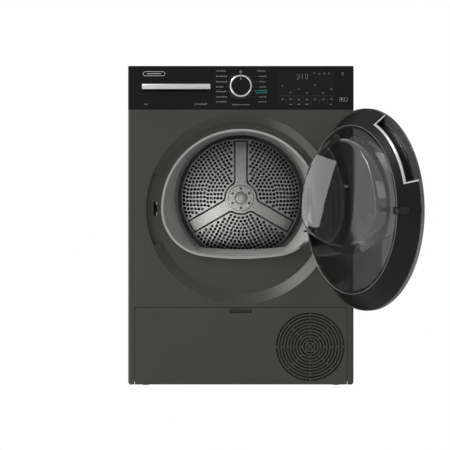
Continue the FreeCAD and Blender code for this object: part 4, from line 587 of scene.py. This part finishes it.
def status_signs(bm):
    """Signs over the keys, and the row beside the clock."""
    heights = (0.7966, 0.7793, 0.7878, 0.7780, 0.7976, 0.7780, 0.7878)
    for i, (x, z) in enumerate(zip(TOUCH_X, heights)):
        small_icon(bm, x, z, i + 2, 0.0048)
    for i, x in enumerate((0.1935, 0.207, 0.220, 0.233)):
        small_icon(bm, x, 0.8290, i + 1, 0.0050)
    small_icon(bm, 0.2684, 0.8290, 0, 0.0066)
    plate(bm, 0.2662, 0.2706, 0.8238, 0.8246, FRONT)


def window_lines(bm):
    """A line over the touch keys, and short ones between them."""
    plate(bm, 0.1019, 0.2444, 0.7698, 0.7701, FRONT)
    for x in TOUCH_X[1:]:
        plate(bm, x - 0.0109, x - 0.0107, 0.7450, 0.7640, FRONT)


def start_sign(bm):
    """Start and pause signs in a thin frame on the start key."""
    (x0, y, z0), (x1, _, z1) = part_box("start_button")
    line = 0.0004
    word(bm, 0.2640, 0.2690, 0.7607, y, height=0.0042, seed=3)
    plate(bm, 0.2716, 0.2723, 0.7585, 0.7629, y)
    plate(bm, 0.2733, 0.2740, 0.7585, 0.7629, y)
    x0, x1, z0, z1 = x0 + 0.0045, x1 - 0.0045, z0 + 0.0038, z1 - 0.0038
    for low, high in (((x0, z0), (x1, z0 + line)), ((x0, z1 - line), (x1, z1)),
                      ((x0, z0), (x0 + line, z1)), ((x1 - line, z0), (x1, z1))):
        plate(bm, low[0], high[0], low[1], high[1], y)


def maker_plate(bm):
    """Plain long oval in place of a maker's name."""
    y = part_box("tank_front")[0][1]
    ring_mark(bm, -0.2525, 0.8285, 0.0060, 0.0048, y, 90, 270, 14)
    ring_mark(bm, -0.2060, 0.8285, 0.0060, 0.0048, y, -90, 90, 14)
    plate(bm, -0.2525, -0.2060, 0.8333, 0.8345, y)
    plate(bm, -0.2525, -0.2060, 0.8225, 0.8237, y)
    plate(bm, -0.2475, -0.2110, 0.8277, 0.8293, y)


def tank_notes(bm):
    """Small print along the drawer front's lower edge."""
    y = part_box("tank_front")[0][1]
    word(bm, -0.2557, -0.2425, 0.7480, y, height=0.0036, seed=41)
    ring_mark(bm, -0.1190, 0.7480, 0.0029, 0.0021, y)
    word(bm, -0.1140, -0.0868, 0.7480, y, height=0.0034, seed=43)


def knob_marks(bm):
    """The dial's pointer."""
    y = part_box("knob_cap")[0][1]
    plate(bm, -0.0006, 0.0006, KNOB_Z + 0.0165, KNOB_Z + 0.0225, y)


marks("programme-names", "cabinet", print_grey, programme_names)
marks("leader-lines", "cabinet", print_dim, leader_lines)
marks("chosen-programme", "cabinet", print_teal, teal_word)
marks("power-sign", "cabinet", print_white, power_sign)
marks("clock-figures", "cabinet", print_grey, clock)
marks("touch-signs", "cabinet", print_grey, touch_signs)
marks("status-signs", "cabinet", print_grey, status_signs)
marks("window-lines", "cabinet", print_dim, window_lines)
marks("start-sign", "start_key", print_white, start_sign)
marks("maker-plate", "tank_drawer", print_white, maker_plate)
marks("tank-notes", "tank_drawer", print_grey, tank_notes)
marks("knob-pointer", "programme_knob", print_white, knob_marks)


# ---------------------------------------------------------------- studio
def seen_white(tree, lit, socket):
    """The stage is plain white to the eye, while it lights the object only as `lit` says."""
    path = add(tree, "ShaderNodeLightPath")
    white = add(tree, "ShaderNodeEmission")
    choice = add(tree, "ShaderNodeMixShader")
    direct = add(tree, "ShaderNodeMath", operation="MAXIMUM")
    tree.links.new(path.outputs["Is Camera Ray"], direct.inputs[0])
    tree.links.new(path.outputs["Is Transmission Ray"], direct.inputs[1])
    tree.links.new(direct.outputs[0], choice.inputs["Fac"])
    tree.links.new(lit, choice.inputs[1])
    tree.links.new(white.outputs["Emission"], choice.inputs[2])
    tree.links.new(choice.outputs["Shader"], socket)


def studio_floor():
    """A wide plain floor."""
    bm = bmesh.new()
    bmesh.ops.create_grid(bm, x_segments=1, y_segments=1, size=14.0)
    mesh = bpy.data.meshes.new("studio floor")
    bm.to_mesh(mesh)
    bm.free()
    floor = bpy.data.objects.new("studio floor", mesh)
    bpy.context.scene.collection.objects.link(floor)
    m, tree, shader = new_material("studio floor")
    set_values(shader, Base_Color=(0.9, 0.9, 0.9, 1), Roughness=0.9)
    seen_white(tree, shader.outputs["BSDF"], tree.nodes["Material Output"].inputs["Surface"])
    mesh.materials.append(m)


def lamp(name, place, aim, size, power, tall=None):
    """A soft rectangular lamp of a width, and a height if it isn't square."""
    data = bpy.data.lights.new(name, "AREA")
    data.shape = "RECTANGLE"
    data.size = size
    data.size_y = tall or size
    data.energy = power
    obj = bpy.data.objects.new(name, data)
    obj.location = place
    obj.rotation_euler = (Vector(aim) - Vector(place)).to_track_quat("-Z", "Y").to_euler()
    bpy.context.scene.collection.objects.link(obj)
    return obj


studio_floor()

world = bpy.data.worlds.new("studio")
world.use_nodes = True
soft = world.node_tree.nodes["Background"]
soft.inputs["Color"].default_value = (1, 1, 1, 1)
soft.inputs["Strength"].default_value = 0.30
seen_white(world.node_tree, soft.outputs["Background"],
           world.node_tree.nodes["World Output"].inputs["Surface"])
bpy.context.scene.world = world
lamp("key", (-2.4, -1.5, 3.2), (0, 0, 0.5), 1.8, 66)
lamp("fill", (1.9, -3.2, 2.2), (0.1, -0.3, 0.5), 1.4, 9, 1.6)
lamp("drum light", (-0.16, -3.4, 0.40), (-0.02, 0.24, 0.45), 0.18, 0.62)
lamp("left card", (-2.2, -0.9, 0.7), (0.4, -0.5, 0.5), 1.2, 5, 1.6)
bowl_card = lamp("bowl card", (0.045, -0.338, 0.520), (0.26, -0.46, 0.520), 0.085, 0.13, 0.20)
bowl_card.rotation_euler.rotate_axis("Z", math.radians(-17))
bowl_card.visible_camera = False
bowl_card.visible_transmission = False

view = bpy.data.cameras.new("view")
view.sensor_width = 36.0
view.lens = 90.95
view.shift_x = -0.0353
view.shift_y = -0.0600
camera = bpy.data.objects.new("view", view)
camera.location = (0.0, -3.305, 0.5005)
camera.rotation_euler = (math.radians(90), 0, 0)
bpy.context.scene.collection.objects.link(camera)
bpy.context.scene.camera = camera
bpy.context.scene.view_settings.view_transform = "Standard"
